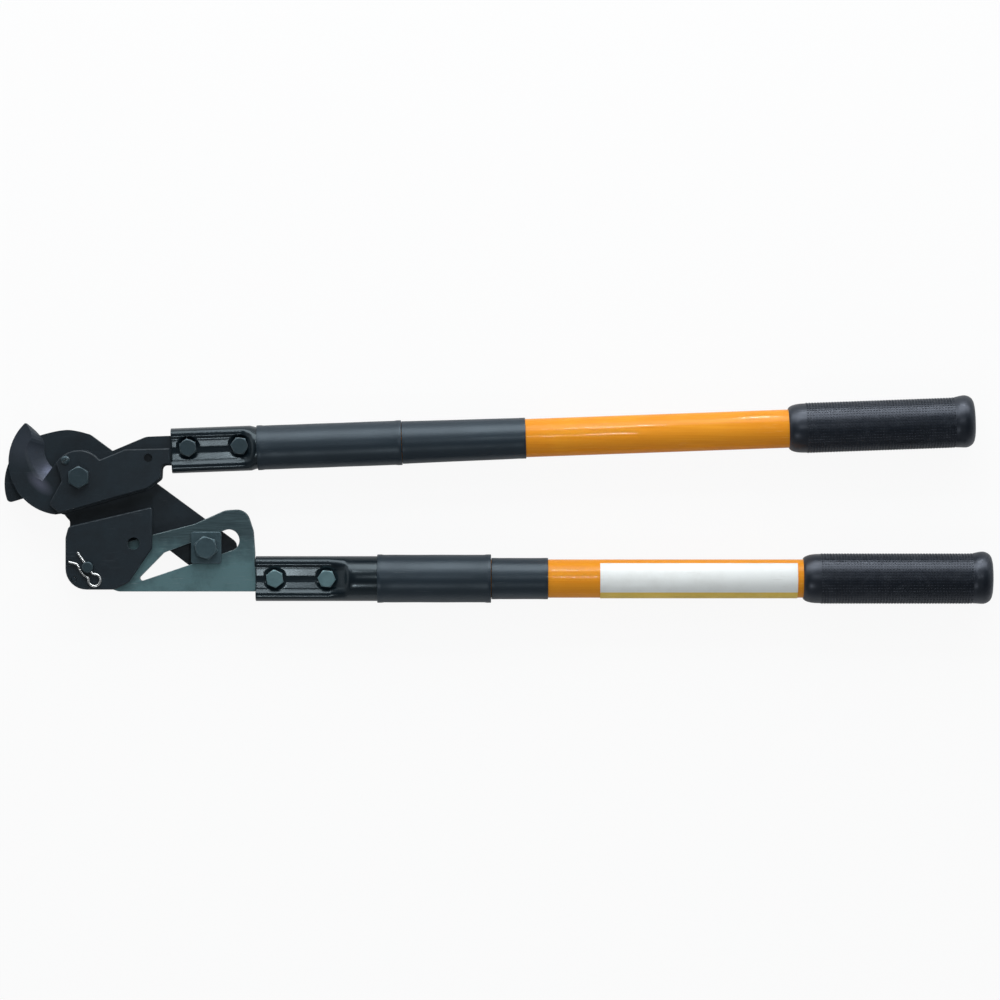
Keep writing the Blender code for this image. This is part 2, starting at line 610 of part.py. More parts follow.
def lobe_corners():
    """The clevis's lower corners, shared by the rear blade's lobe and the cheek."""
    corners = [(LOBE_RIGHT, CHEEK_SHOULDER_Y, FINE_FILLET)]
    corners += [(CHEEK_CHAMFER_X, CHEEK_CHAMFER_Y, SMALL_FILLET)]
    corners += [(CHEEK_CHAMFER_X - CHEEK_TOE_RUN, LOBE_BOTTOM, FILLET)]
    corners += [(LOBE_LEFT, LOBE_BOTTOM, LOBE_CORNER_RADIUS)]
    corners += [(LOBE_LEFT, CHEEK_TOP_LEFT_Y - CHEEK_LEFT_DROP, FILLET)]
    return corners


tail_along = Vector((math.cos(TAIL_ANGLE), math.sin(TAIL_ANGLE)))
tail_across = Vector((-tail_along.y, tail_along.x))


def rear_outline(bevel):
    """The rear blade: hook, back, tail, lobe and hub."""
    edge = hook(-1, bevel)
    tail_tip = SLIDE_BOLT + TAIL_PAST_BOLT * tail_along
    upper = tail_tip + TAIL_ABOVE_BOLT * tail_across
    lower = tail_tip - TAIL_BELOW_BOLT * tail_across
    root_run = (lower.x - LOBE_RIGHT) / tail_along.x
    root_corner = lower - root_run * tail_along
    heel = edge[-1]
    corners = corner_list(edge)
    corners += [(heel.x + TAIL_ROOT_RUN, heel.y - TAIL_ROOT_DROP, FILLET)]
    corners += [(upper.x, upper.y, FILLET), (lower.x, lower.y, FILLET)]
    corners += [(root_corner.x, root_corner.y, SMALL_FILLET)]
    corners += lobe_corners()
    corners += [(LOBE_LEFT + CHEEK_LEFT_INSET, CHEEK_TOP_LEFT_Y, FILLET)]
    hub = hub_arc(hook(-1, 0.0)[0], LOBE_HUB_ANGLE)
    corners += corner_list(hub)
    return rounded(corners)


# Front blade
lower_blade = piece("lower_blade", blade(front_outline, FRONT_FACE, FRONT_TOP), "black_steel", root)
pad = cutter("pad_form", plate(pad_outline(), FRONT_TOP - EDGE_CHAMFER, PAD_TOP), root)
boolean(lower_blade, pad, "UNION")
lock_screw = LOCK_SCREW_REACH * Vector((math.cos(LOCK_SCREW_ANGLE), math.sin(LOCK_SCREW_ANGLE)))
upper_bolts = [UPPER_FIRST_BOLT, UPPER_FIRST_BOLT + BOLT_PITCH]
front_bores = [(PIVOT, PIVOT_RADIUS + CLEARANCE)]
front_bores += [(upper_place(x, UPPER_TROUGH_OFFSET), FERRULE_BOLT_RADIUS + CLEARANCE) for x in upper_bolts]
boolean(lower_blade, holes("front_bores", front_bores, REAR_BACK, PAD_TOP + PAD_HEIGHT, root))
blind = [(Vector((BLIND_HOLE_X, BLIND_HOLE_Y)), BLIND_HOLE_RADIUS)]
boolean(lower_blade, holes("blind_hole", blind, PAD_TOP - BLIND_HOLE_DEPTH, PAD_TOP + PAD_HEIGHT, root))
screw_low = PAD_TOP - LOCK_SCREW_DEPTH - CLEARANCE
screw_bore = [(lock_screw, LOCK_SCREW_RADIUS + CLEARANCE)]
boolean(lower_blade, holes("screw_bore", screw_bore, screw_low, PAD_TOP + PAD_HEIGHT, root))

# Rear blade with its tail and lobe
upper_blade = piece("upper_blade", blade(rear_outline, REAR_FACE, REAR_BACK), "black_steel", swinging)
bush_radius = PIVOT_RADIUS + CLEARANCE + BUSH_WALL
corner_centre = Vector((LOBE_LEFT + LOBE_CORNER_RADIUS, LOBE_BOTTOM + LOBE_CORNER_RADIUS))
spacer_inner = TONGUE_RADIUS + CLEARANCE
spacer_mid = (LOBE_LEFT + PIN_X - spacer_inner) / 2
corner_mid = (PIN + corner_centre) / 2
corner_way = Vector((math.cos(RIVET_CORNER_ANGLE), math.sin(RIVET_CORNER_ANGLE)))
corner_reach = (spacer_inner + LOBE_CORNER_RADIUS) / 2
rivet_places = [Vector((spacer_mid, SPACER_TOP_Y - RIVET_DROP)), corner_mid + corner_reach * corner_way]
rivet_bores = [(place, RIVET_RADIUS + CLEARANCE) for place in rivet_places]
pin_bore = (PIN, PIN_RADIUS + CLEARANCE)
slide_bore = (SLIDE_BOLT, SLIDE_BOLT_RADIUS + CLEARANCE)
rear_bores = [(PIVOT, bush_radius + CLEARANCE), pin_bore, slide_bore] + rivet_bores
boolean(upper_blade, holes("rear_bores", rear_bores, 2 * REAR_BACK, FRONT_TOP, swinging))

# Main pivot, from the bolt head in front to the nut behind
washer_high = REAR_BACK - CLEARANCE
nut_high = washer_high - WASHER_THICKNESS - CLEARANCE
bm = bmesh.new()
bolt_tip = CLEARANCE - SHEAR_HEIGHT
head_seat = PAD_TOP + CLEARANCE
hex_bolt(bm, PIVOT, PIVOT_RADIUS, PIVOT_HEAD_FLATS, bolt_tip, head_seat, PIVOT_HEAD_HEIGHT)
piece("pivot_bolt", bm, "bolt_steel", root)
bm = bmesh.new()
pivot_bore = PIVOT_RADIUS + CLEARANCE
ring_plate(bm, PIVOT, pivot_bore, bush_radius, REAR_BACK + CLEARANCE, REAR_FACE - CLEARANCE)
piece("pivot_bush", bm, "bronze", root)
bm = bmesh.new()
ring_plate(bm, PIVOT, pivot_bore, WASHER_RADIUS, washer_high - WASHER_THICKNESS, washer_high)
piece("pivot_washer", bm, "bolt_steel", root)
bm = bmesh.new()
hex_nut(bm, PIVOT, pivot_bore, PIVOT_NUT_FLATS, -SHEAR_HEIGHT, nut_high)
piece("pivot_nut", bm, "bolt_steel", root)
bm = bmesh.new()
screw_top = head_seat + LOCK_SCREW_HEAD_HEIGHT
screw_dome = LOCK_SCREW_HEAD_RADIUS - LOCK_SCREW_DOME
screw_rings = [disc(lock_screw, LOCK_SCREW_RADIUS, PAD_TOP - LOCK_SCREW_DEPTH)]
screw_rings += [disc(lock_screw, LOCK_SCREW_RADIUS, head_seat)]
screw_rings += [disc(lock_screw, LOCK_SCREW_HEAD_RADIUS, head_seat)]
screw_rings += [disc(lock_screw, LOCK_SCREW_HEAD_RADIUS, screw_top - LOCK_SCREW_HEAD_HEIGHT / 2)]
screw_rings += [disc(lock_screw, screw_dome, screw_top)]
loft(bm, screw_rings)
piece("pivot_lock_screw", bm, "bolt_steel", root)

# Clevis: front cheek, the spacer that holds it off the lobe, and two flush rivets
cheek_corners = [(LOBE_LEFT + CHEEK_LEFT_INSET, CHEEK_TOP_LEFT_Y, SMALL_FILLET)]
cheek_corners += [(LOBE_RIGHT, CHEEK_TOP_RIGHT_Y, FINE_FILLET)]
cheek_form = plate(rounded(cheek_corners + lobe_corners()), CHEEK_LOW, CHEEK_TOP)
cheek_plate = piece("cheek_plate", cheek_form, "black_steel", swinging)
second_hole = (Vector((SECOND_HOLE_X, SECOND_HOLE_Y)), SECOND_HOLE_RADIUS)
cheek_bores = [pin_bore, second_hole] + rivet_bores
boolean(cheek_plate, holes("cheek_bores", cheek_bores, FRONT_FACE, 2 * CHEEK_TOP, swinging))
spacer_corners = corner_list(arc(corner_centre, LOBE_CORNER_RADIUS, math.pi, SPACER_OUTER_END))
spacer_corners += corner_list(arc(PIN, spacer_inner, SPACER_INNER_END, math.pi))
spacer_corners += [(PIN_X - spacer_inner, SPACER_TOP_Y, 0), (LOBE_LEFT, SPACER_TOP_Y, 0)]
spacer_form = plate(rounded(spacer_corners), FRONT_FACE, FRONT_TOP, 0)
clevis_spacer = piece("clevis_spacer", spacer_form, "black_steel", swinging)
boolean(clevis_spacer, holes("spacer_bores", rivet_bores, REAR_BACK, CHEEK_TOP, swinging))
for name, place in zip(("clevis_rivet_upper", "clevis_rivet_lower"), rivet_places):
    bm = bmesh.new()
    cylinder(bm, place, RIVET_RADIUS, REAR_BACK, CHEEK_TOP, RIVET_SIDES)
    piece(name, bm, "black_steel", swinging)

# Slotted bracket that carries the lower handle
neck_x = LOWER_MOUTH_X - 2 * CLEARANCE
tang_x = LOWER_MOUTH_X + LOWER_FIRST_BOLT + BOLT_PITCH + TANG_PAST_BOLT
tang_low = LOWER_MOUTH_Y - TANG_HALF_HEIGHT
tang_high = LOWER_MOUTH_Y + TANG_HALF_HEIGHT
bracket_corners = corner_list(arc(PIN, TONGUE_RADIUS, TONGUE_START, TONGUE_END))
bracket_corners += [(BRACKET_TOE_X, BRACKET_BOTTOM, FILLET)]
bracket_corners += [(neck_x, BRACKET_BOTTOM, 0), (neck_x, tang_low, 0)]
bracket_corners += [(tang_x, tang_low, FINE_FILLET), (tang_x, tang_high, FINE_FILLET), (neck_x, tang_high, 0)]
bracket_corners += [(neck_x, LOWER_MOUTH_Y + BRACKET_MOUTH_RISE, SMALL_FILLET)]
bracket_corners += [(neck_x - BRACKET_LEAN, BRACKET_CREST_Y - BRACKET_CREST_DROP, LARGE_FILLET)]
bracket_corners += [(BRACKET_CREST_RIGHT, BRACKET_CREST_Y, LARGE_FILLET)]
bracket_corners += [(BRACKET_CREST_LEFT, BRACKET_CREST_Y - BRACKET_CREST_FALL, LARGE_FILLET)]
bracket_corners += [(BRACKET_NECK_X, BRACKET_NECK_Y, LARGE_FILLET)]
bracket_corners += [(BRACKET_SHOULDER_X, BRACKET_SHOULDER_Y, SMALL_FILLET)]
bracket_form = plate(rounded(bracket_corners), FRONT_FACE, FRONT_TOP)
handle_bracket = piece("handle_bracket", bracket_form, "brushed_steel", swinging)
half_slot = SLOT_WIDTH / 2
slot_end = half_slot - CLEARANCE
slot_corners = [(-SLOT_LEFT, -half_slot, FINE_FILLET), (SLOT_RIGHT, -half_slot, slot_end)]
slot_corners += [(SLOT_RIGHT, half_slot, slot_end), (SLOT_LEFT_SLANT - SLOT_LEFT, half_slot, SMALL_FILLET)]
slot_frame = frame("slot_frame", swinging, (SLIDE_BOLT_X, SLIDE_BOLT_Y, 0.0), SLOT_ANGLE)
slot = cutter("slot_form", plate(rounded(slot_corners), REAR_BACK, CHEEK_TOP, 0), slot_frame)
boolean(handle_bracket, slot)
lower_bolts = [LOWER_FIRST_BOLT, LOWER_FIRST_BOLT + BOLT_PITCH]
bolt_bore = FERRULE_BOLT_RADIUS + CLEARANCE
bracket_bores = [pin_bore] + [(Vector((LOWER_MOUTH_X + x, LOWER_MOUTH_Y)), bolt_bore) for x in lower_bolts]
boolean(handle_bracket, holes("bracket_bores", bracket_bores, REAR_BACK, CHEEK_TOP, swinging))

# Bolt through the tail and the slot, with its bush, keeper and nut
bm = bmesh.new()
ring_plate(bm, SLIDE_BOLT, slide_bore[1], half_slot - CLEARANCE, FRONT_FACE, FRONT_TOP)
piece("slide_bush", bm, "bronze", swinging)
keeper_left = SLIDE_BOLT_X - KEEPER_WIDTH / 2
keeper_right = SLIDE_BOLT_X + KEEPER_WIDTH / 2
keeper_bottom = SLIDE_BOLT_Y - KEEPER_HEIGHT / 2
keeper_top = SLIDE_BOLT_Y + KEEPER_HEIGHT / 2
keeper_corners = [(keeper_left, keeper_bottom, FINE_FILLET), (keeper_right, keeper_bottom, FINE_FILLET)]
keeper_corners += [(keeper_right, keeper_top, FINE_FILLET), (keeper_left, keeper_top, FINE_FILLET)]
keeper_form = plate(rounded(keeper_corners), KEEPER_LOW, KEEPER_TOP, KEEPER_CHAMFER)
keeper_plate = piece("keeper_plate", keeper_form, "black_steel", swinging)
boolean(keeper_plate, holes("keeper_bore", [slide_bore], FRONT_FACE, 2 * KEEPER_TOP, swinging))
slide_nut_low = REAR_BACK - CLEARANCE - SLIDE_NUT_HEIGHT
bm = bmesh.new()
slide_seat = KEEPER_TOP + CLEARANCE
hex_bolt(bm, SLIDE_BOLT, SLIDE_BOLT_RADIUS, SLIDE_HEAD_FLATS, slide_nut_low, slide_seat, SLIDE_HEAD_HEIGHT)
piece("slide_bolt", bm, "bolt_steel", swinging)
bm = bmesh.new()
hex_nut(bm, SLIDE_BOLT, slide_bore[1], SLIDE_HEAD_FLATS, slide_nut_low, REAR_BACK - CLEARANCE)
piece("slide_nut", bm, "bolt_steel", swinging)

# Latch pin through the clevis and the bracket's tongue, cross-drilled for the clip
pin_seat = REAR_BACK - CLEARANCE
pin_top = CLIP_HEIGHT + WIRE_RADIUS + CLEARANCE + PIN_END
bm = bmesh.new()
pin_rings = [disc(PIN, PIN_HEAD_RADIUS - PIN_POINT, pin_seat - PIN_HEAD_HEIGHT)]
pin_rings += [disc(PIN, PIN_HEAD_RADIUS, pin_seat - PIN_HEAD_HEIGHT + PIN_POINT)]
pin_rings += [disc(PIN, PIN_HEAD_RADIUS, pin_seat), disc(PIN, PIN_RADIUS, pin_seat)]
pin_rings += [disc(PIN, PIN_RADIUS, pin_top - PIN_POINT), disc(PIN, PIN_RADIUS - PIN_POINT, pin_top)]
loft(bm, pin_rings)
latch_pin = piece("latch_pin", bm, "bolt_steel", swinging)
bm = bmesh.new()
cylinder(bm, PIVOT, WIRE_RADIUS + CLEARANCE, -PIN_HEAD_RADIUS, PIN_HEAD_RADIUS, RIVET_SIDES)
bmesh.ops.rotate(bm, verts=bm.verts, matrix=Matrix.Rotation(math.pi / 2, 3, "Y"))
boolean(latch_pin, cutter("clip_bore", bm, clip_frame))

# Spring clip: a straight leg through the pin, an eye, and a waved arm; x runs along the leg, out of the pin
eye = Vector((CLIP_EYE_X, CLIP_EYE_Y))
eye_start = math.pi + math.asin(CLIP_EYE_Y / CLIP_EYE_RADIUS)
eye_end = eye_start + CLIP_EYE_TURN
clip_path = [Vector((-CLIP_LEG, 0.0)), Vector((0.0, 0.0))]
clip_path += arc(eye, CLIP_EYE_RADIUS, eye_start, eye_end)
arm_start = clip_path[-1]
crest = Vector((0.0, CLIP_ARM_SPREAD + CLIP_ARM_CREST))
neck = Vector((CLIP_NECK_X, CLIP_ARM_SPREAD))
flare = Vector((CLIP_FLARE_X, CLIP_ARM_SPREAD + CLIP_FLARE_Y))
arm_lead = Vector((arm_start.x / 2, crest.y))
neck_lead = Vector((CLIP_NECK_X / 2, CLIP_ARM_SPREAD))
flare_lead = Vector(((CLIP_NECK_X + CLIP_FLARE_X) / 2, CLIP_ARM_SPREAD))
clip_path += curve(arm_start, arm_lead, crest)[1:]
clip_path += curve(crest, neck_lead, neck)[1:]
clip_path += curve(neck, flare_lead, flare)[1:]
clip_curve = bpy.data.curves.new("r_clip", "CURVE")
clip_curve.dimensions = "3D"
clip_curve.bevel_depth = WIRE_RADIUS
clip_curve.bevel_resolution = 2
clip_curve.use_fill_caps = True
wire = clip_curve.splines.new("POLY")
wire.points.add(len(clip_path) - 1)
for point, place in zip(wire.points, clip_path):
    point.co = (place.x, -place.y, 0.0, 1.0)
r_clip = bpy.data.objects.new("r_clip", clip_curve)
bpy.context.collection.objects.link(r_clip)
r_clip.parent = clip_frame
clip_curve.materials.append(material("r_clip_finish", *FINISHES["zinc_wire"]))


def turned(name, stations, finish, parent, loop=True):
    """A body of revolution about a handle's axis, from (x, radius) stations."""
    bm = bmesh.new()
    loft(bm, [round_ring(x, radius) for x, radius in stations], loop)
    return piece(name, bm, finish, parent)


def round_ring(x, radius):
    """A ring of points about a handle's axis."""
    angles = [2 * math.pi * i / HANDLE_SIDES for i in range(HANDLE_SIDES)]
    return [(x, radius * math.cos(a), radius * math.sin(a)) for a in angles]


def pressed_ring(x, radius, half_width, flat, offset, press):
    """A ferrule's section: a circle whose front and back are pressed towards two flats."""
    lip = half_width + TROUGH_FLANK
    breaks = [math.acos((offset + cut) / radius) for cut in (lip, half_width, -half_width, -lip)]
    breaks = [0.0] + breaks + [math.pi]
    half = []
    for start, end, steps in zip(breaks, breaks[1:], PRESSED_STEPS):
        half += [start + (end - start) * i / steps for i in range(steps)]
    ring = []
    for angle in half + [math.pi]:
        height = radius * math.sin(angle)
        if breaks[2] <= angle <= breaks[3]:
            height += press * (flat - height)
        ring.append((x, radius * math.cos(angle), height))
    return ring + [(x, y, -z) for x, y, z in reversed(ring[1:-1])]


def ferrule(name, parent, offset, trough, bare, pipe_radius, end, bolts):
    """A steel pipe socket, pressed flat on two sides round the tang, with its bolt holes."""
    inner = FERRULE_MOUTH_RADIUS - FERRULE_WALL
    bore = TUBE_RADIUS + CLEARANCE
    flat_end = trough - TROUGH_RUN_OUT
    outer_width = TROUGH_HALF_WIDTH
    inner_width = TROUGH_HALF_WIDTH + FERRULE_WALL / 2
    outer_flat = FERRULE_FLAT
    inner_flat = FERRULE_FLAT - FERRULE_WALL
    outside = (FERRULE_MOUTH_RADIUS, outer_width, outer_flat, offset)
    inside = (inner, inner_width, inner_flat, offset)
    rings = [pressed_ring(0.0, *outside, 1.0), pressed_ring(flat_end, *outside, 1.0)]
    rings += [pressed_ring(trough, *outside, 0.0), round_ring(bare - FERRULE_STEP, FERRULE_MOUTH_RADIUS)]
    rings += [round_ring(bare, pipe_radius), round_ring(end, pipe_radius), round_ring(end, bore)]
    rings += [round_ring(trough + FERRULE_WALL, bore), pressed_ring(trough, *inside, 0.0)]
    rings += [pressed_ring(flat_end, *inside, 1.0), pressed_ring(0.0, *inside, 1.0)]
    bm = bmesh.new()
    loft(bm, rings, loop=True)
    made = piece(name, bm, "black_steel", parent)
    bores = [(Vector((x, offset)), FERRULE_BOLT_RADIUS + CLEARANCE) for x in bolts]
    boolean(made, holes(name + "_bores", bores, -2 * FERRULE_MOUTH_RADIUS, 2 * FERRULE_MOUTH_RADIUS, parent))
    seat = FERRULE_FLAT + CLEARANCE
    nut_low = -seat - FERRULE_NUT_HEIGHT
    for end_name, x in zip(("front", "rear"), bolts):
        place = Vector((x, offset))
        bm = bmesh.new()
        tip = nut_low - BOLT_PAST_NUT
        hex_bolt(bm, place, FERRULE_BOLT_RADIUS, FERRULE_BOLT_FLATS, tip, seat, FERRULE_BOLT_HEAD)
        piece(f"{name}_bolt_{end_name}", bm, "bolt_steel", parent)
        bm = bmesh.new()
        hex_nut(bm, place, FERRULE_BOLT_RADIUS + CLEARANCE, FERRULE_BOLT_FLATS, nut_low, -seat)
        piece(f"{name}_nut_{end_name}", bm, "bolt_steel", parent)


def sleeve(name, parent, start, end, inner, first_outer, last_outer, bead=0.0):
    """Shrunk insulation, with a thicker bead at each end where it is cut."""
    run_out = BEAD_LENGTH + BEAD_RUN_OUT
    stations = [(start, inner), (start, first_outer + bead), (start + BEAD_LENGTH, first_outer + bead)]
    stations += [(start + run_out, first_outer), (end - run_out, last_outer)]
    stations += [(end - BEAD_LENGTH, last_outer + bead), (end, last_outer + bead), (end, inner)]
    turned(name, stations, "black_sleeve", parent)


def grip(name, parent, start, end):
    """A moulded rubber grip: rounded shoulder, long barrel, end flange and closed end."""
    bore = TUBE_RADIUS + CLEARANCE
    rise = GRIP_RADIUS - GRIP_MOUTH_RADIUS
    stations = [(end - GRIP_END_WALL, 0.0), (end - GRIP_END_WALL, bore)]
    stations += [(start, bore), (start, GRIP_MOUTH_RADIUS)]
    for share in (1 / 3, 2 / 3, 1):
        turn = share * math.pi / 2
        along = GRIP_SHOULDER * (1 - math.cos(turn))
        stations.append((start + along, GRIP_MOUTH_RADIUS + rise * math.sin(turn)))
    flange = end - GRIP_FLANGE_LENGTH
    stations += [(flange - GRIP_FLANGE_LENGTH, GRIP_RADIUS), (flange, GRIP_FLANGE_RADIUS)]
    stations += [(flange + GRIP_FLANGE_RIM, GRIP_FLANGE_RADIUS), (end, GRIP_END_RADIUS), (end, 0.0)]
    turned(name, stations, "black_rubber", parent, loop=False)


def fibre_tube(name, parent, start, end):
    """A hollow fibreglass tube."""
    inner = TUBE_RADIUS - TUBE_WALL
    stations = [(start, inner), (start, TUBE_RADIUS), (end, TUBE_RADIUS), (end, inner)]
    turned(name, stations, "orange_tube", parent)


# Upper handle
tube_end_gap = GRIP_END_WALL + CLEARANCE
over_tube = TUBE_RADIUS + CLEARANCE
over_upper = UPPER_PIPE_RADIUS + CLEARANCE
upper_outer = over_upper + UPPER_SLEEVE_WALL
upper_pipe_end = UPPER_SLEEVE_STEP - FERRULE_STEP
ferrule("upper_ferrule", upper_handle, UPPER_TROUGH_OFFSET, UPPER_TROUGH, UPPER_FERRULE_BARE,
        UPPER_PIPE_RADIUS, upper_pipe_end, upper_bolts)
sleeve("upper_sleeve_front", upper_handle, UPPER_FERRULE_BARE + CLEARANCE, UPPER_SLEEVE_STEP,
       over_upper, upper_outer, upper_outer, BEAD_HEIGHT)
sleeve("upper_sleeve_rear", upper_handle, UPPER_SLEEVE_STEP + CLEARANCE, UPPER_SLEEVE_END,
       over_tube, over_upper, over_tube + UPPER_SLEEVE_WALL)
fibre_tube("upper_tube", upper_handle, UPPER_TROUGH + TUBE_SEAT, UPPER_GRIP_END - tube_end_gap)
grip("upper_grip", upper_handle, UPPER_GRIP_START, UPPER_GRIP_END)

# Lower handle
over_lower = LOWER_PIPE_RADIUS + CLEARANCE
lower_outer = over_lower + LOWER_THICK_WALL
thin_outer = over_tube + LOWER_THIN_WALL
lower_pipe_end = LOWER_SLEEVE_STEP - FERRULE_STEP
ferrule("lower_ferrule", lower_handle, 0.0, LOWER_TROUGH, LOWER_FERRULE_BARE,
        LOWER_PIPE_RADIUS, lower_pipe_end, lower_bolts)
sleeve("lower_sleeve_thick", lower_handle, LOWER_FERRULE_BARE + CLEARANCE, LOWER_SLEEVE_STEP,
       over_lower, lower_outer, lower_outer, BEAD_HEIGHT)
sleeve("lower_sleeve_thin", lower_handle, LOWER_SLEEVE_STEP + CLEARANCE, LOWER_SLEEVE_END,
       over_tube, thin_outer, thin_outer)
fibre_tube("lower_tube", lower_handle, LOWER_TROUGH + TUBE_SEAT, LOWER_GRIP_END - tube_end_gap)
grip("lower_grip", lower_handle, LOWER_GRIP_START, LOWER_GRIP_END)

# Bare label on the front of the lower tube
bm = bmesh.new()
label_sweep = LABEL_BOTTOM_ANGLE - LABEL_TOP_ANGLE
label_turns = [LABEL_TOP_ANGLE + label_sweep * i / LABEL_STEPS for i in range(LABEL_STEPS + 1)]
label_outer = over_tube + LABEL_THICKNESS
label_rings = []
for x in (LABEL_START, LABEL_END):
    outside = [(x, label_outer * math.cos(a), label_outer * math.sin(a)) for a in label_turns]
    inside = [(x, over_tube * math.cos(a), over_tube * math.sin(a)) for a in reversed(label_turns)]
    label_rings.append(outside + inside)
loft(bm, label_rings)
piece("lower_label", bm, "white_label", lower_handle)
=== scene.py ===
"""Looks of an insulated long-handled cable cutter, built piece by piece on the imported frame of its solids."""
import math

import bpy
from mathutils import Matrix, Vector


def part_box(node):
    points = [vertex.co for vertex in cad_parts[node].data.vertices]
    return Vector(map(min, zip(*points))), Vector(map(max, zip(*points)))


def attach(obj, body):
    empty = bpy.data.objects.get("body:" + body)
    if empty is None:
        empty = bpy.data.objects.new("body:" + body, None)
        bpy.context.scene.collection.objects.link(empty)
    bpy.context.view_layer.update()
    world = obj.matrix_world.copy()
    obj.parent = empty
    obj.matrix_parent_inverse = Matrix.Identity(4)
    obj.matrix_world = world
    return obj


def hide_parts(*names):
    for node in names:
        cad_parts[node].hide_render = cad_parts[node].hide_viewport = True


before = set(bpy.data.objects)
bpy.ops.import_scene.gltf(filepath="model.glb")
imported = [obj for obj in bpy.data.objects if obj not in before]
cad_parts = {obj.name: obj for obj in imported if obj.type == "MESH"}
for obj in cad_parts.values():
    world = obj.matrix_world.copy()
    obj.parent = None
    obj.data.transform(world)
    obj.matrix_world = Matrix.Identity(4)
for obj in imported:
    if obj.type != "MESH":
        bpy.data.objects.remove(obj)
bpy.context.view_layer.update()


# Front blade. A forged tool-steel hook with its arm, hub pad and tang, painted satin black, with a wide
# bevel ground along the throat down to a narrow cutting land. The main pivot and the upper handle's two
# bolts hold it.

mm = 0.001


def pick(made):
    """Select one object alone, and make it the active one."""
    bpy.ops.object.select_all(action="DESELECT")
    made.select_set(True)
    bpy.context.view_layer.objects.active = made


def clear_picks(made, kind):
    """Pick an object and clear the selection in its mesh, ready for edges or faces to be picked by place."""
    pick(made)
    bpy.ops.object.mode_set(mode="EDIT")
    bpy.ops.mesh.select_mode(type=kind)
    bpy.ops.mesh.select_all(action="DESELECT")
    bpy.ops.object.mode_set(mode="OBJECT")


def start_from(node, name):
    """A fresh object from a copy of a solid, merged, with the seams between its flat triangles taken out."""
    made = bpy.data.objects.new(name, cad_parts[node].data.copy())
    bpy.context.scene.collection.objects.link(made)
    made.data.materials.clear()
    pick(made)
    bpy.ops.object.mode_set(mode="EDIT")
    bpy.ops.mesh.select_all(action="SELECT")
    bpy.ops.mesh.remove_doubles(threshold=0.01 * mm)
    bpy.ops.mesh.dissolve_limited(angle_limit=math.radians(1))
    bpy.ops.mesh.normals_make_consistent(inside=False)
    bpy.ops.object.mode_set(mode="OBJECT")
    return made


def apply_last(made):
    """Apply the newest modifier of an object."""
    pick(made)
    bpy.ops.object.modifier_apply(modifier=made.modifiers[-1].name)


def refill(plate):
    """Take out the flat faces of a plate, level by level, and fill each level again from its outline."""
    upright, same_level = 0.9999, 0.01 * mm
    levels = {round(face.center.z / mm, 2) for face in plate.data.polygons if abs(face.normal.z) > upright}
    for level in levels:
        clear_picks(plate, "FACE")
        for face in plate.data.polygons:
            face.select = abs(face.normal.z) > upright and abs(face.center.z - level * mm) < same_level
        bpy.ops.object.mode_set(mode="EDIT")
        bpy.ops.mesh.delete(type="ONLY_FACE")
        bpy.ops.object.mode_set(mode="OBJECT")
        clear_picks(plate, "EDGE")
        bpy.ops.object.mode_set(mode="EDIT")
        bpy.ops.mesh.select_non_manifold(use_wire=False, use_multi_face=False, use_non_contiguous=False,
                                         use_verts=False)
        bpy.ops.mesh.fill(use_beauty=True)
        bpy.ops.object.mode_set(mode="OBJECT")
    bpy.ops.object.mode_set(mode="EDIT")
    bpy.ops.mesh.select_all(action="SELECT")
    bpy.ops.mesh.delete_loose()
    bpy.ops.mesh.select_all(action="SELECT")
    bpy.ops.mesh.normals_make_consistent(inside=False)
    bpy.ops.object.mode_set(mode="OBJECT")


def soften(made, width, segments=3, angle=30, smooth=38, plate=False):
    """Break the edges of a piece by a small radius, then shade its curved faces smooth."""
    upright, broad = 0.9995, 10 * mm * mm
    edge = made.modifiers.new("edges", "BEVEL")
    edge.width = width
    edge.segments = segments
    edge.limit_method = "ANGLE"
    edge.angle_limit = math.radians(angle)
    edge.use_clamp_overlap = True
    apply_last(made)
    if plate:
        refill(made)
    bpy.ops.object.shade_smooth_by_angle(angle=math.radians(smooth))
    for face in made.data.polygons:
        if abs(face.normal.z) > upright and face.area > broad:
            face.use_smooth = False


def fit(made, body, node, slot, *coats):
    """Give a piece its finishes, let it ride on its body and stand for its solid."""
    for coat in coats:
        made.data.materials.append(coat)
    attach(made, body)
    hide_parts(node)


def feed(tree, node, inputs):
    """Fill the inputs of a shader node: a value that is a socket is linked, and any other is set."""
    for key, value in inputs.items():
        if isinstance(value, bpy.types.NodeSocket):
            tree.links.new(value, node.inputs[key])
        else:
            node.inputs[key].default_value = value


def put(tree, kind, inputs, **settings):
    """Add a shader node with its settings and its inputs."""
    made = tree.nodes.new("ShaderNode" + kind)
    for name, value in settings.items():
        setattr(made, name, value)
    feed(tree, made, inputs)
    return made


def effect(name, inputs, outputs):
    """A shader group with named values in and named values out: its tree, its inputs and its outputs."""
    tree = bpy.data.node_groups.new(name, "ShaderNodeTree")
    for title, value in inputs.items():
        tree.interface.new_socket(title, in_out="INPUT", socket_type="NodeSocketFloat").default_value = value
    for title in outputs:
        tree.interface.new_socket(title, in_out="OUTPUT", socket_type="NodeSocketFloat")
    return tree, tree.nodes.new("NodeGroupInput").outputs, tree.nodes.new("NodeGroupOutput")


def use(tree, group, **values):
    """Place a shader group in a material with its own values; underscores stand for spaces."""
    inputs = {title.replace("_", " "): value for title, value in values.items()}
    return put(tree, "Group", inputs, node_tree=group).outputs


def finish(name):
    """A new material: its node tree and its shader."""
    made = bpy.data.materials.new(name)
    made.use_nodes = True
    return made, made.node_tree, made.node_tree.nodes["Principled BSDF"]


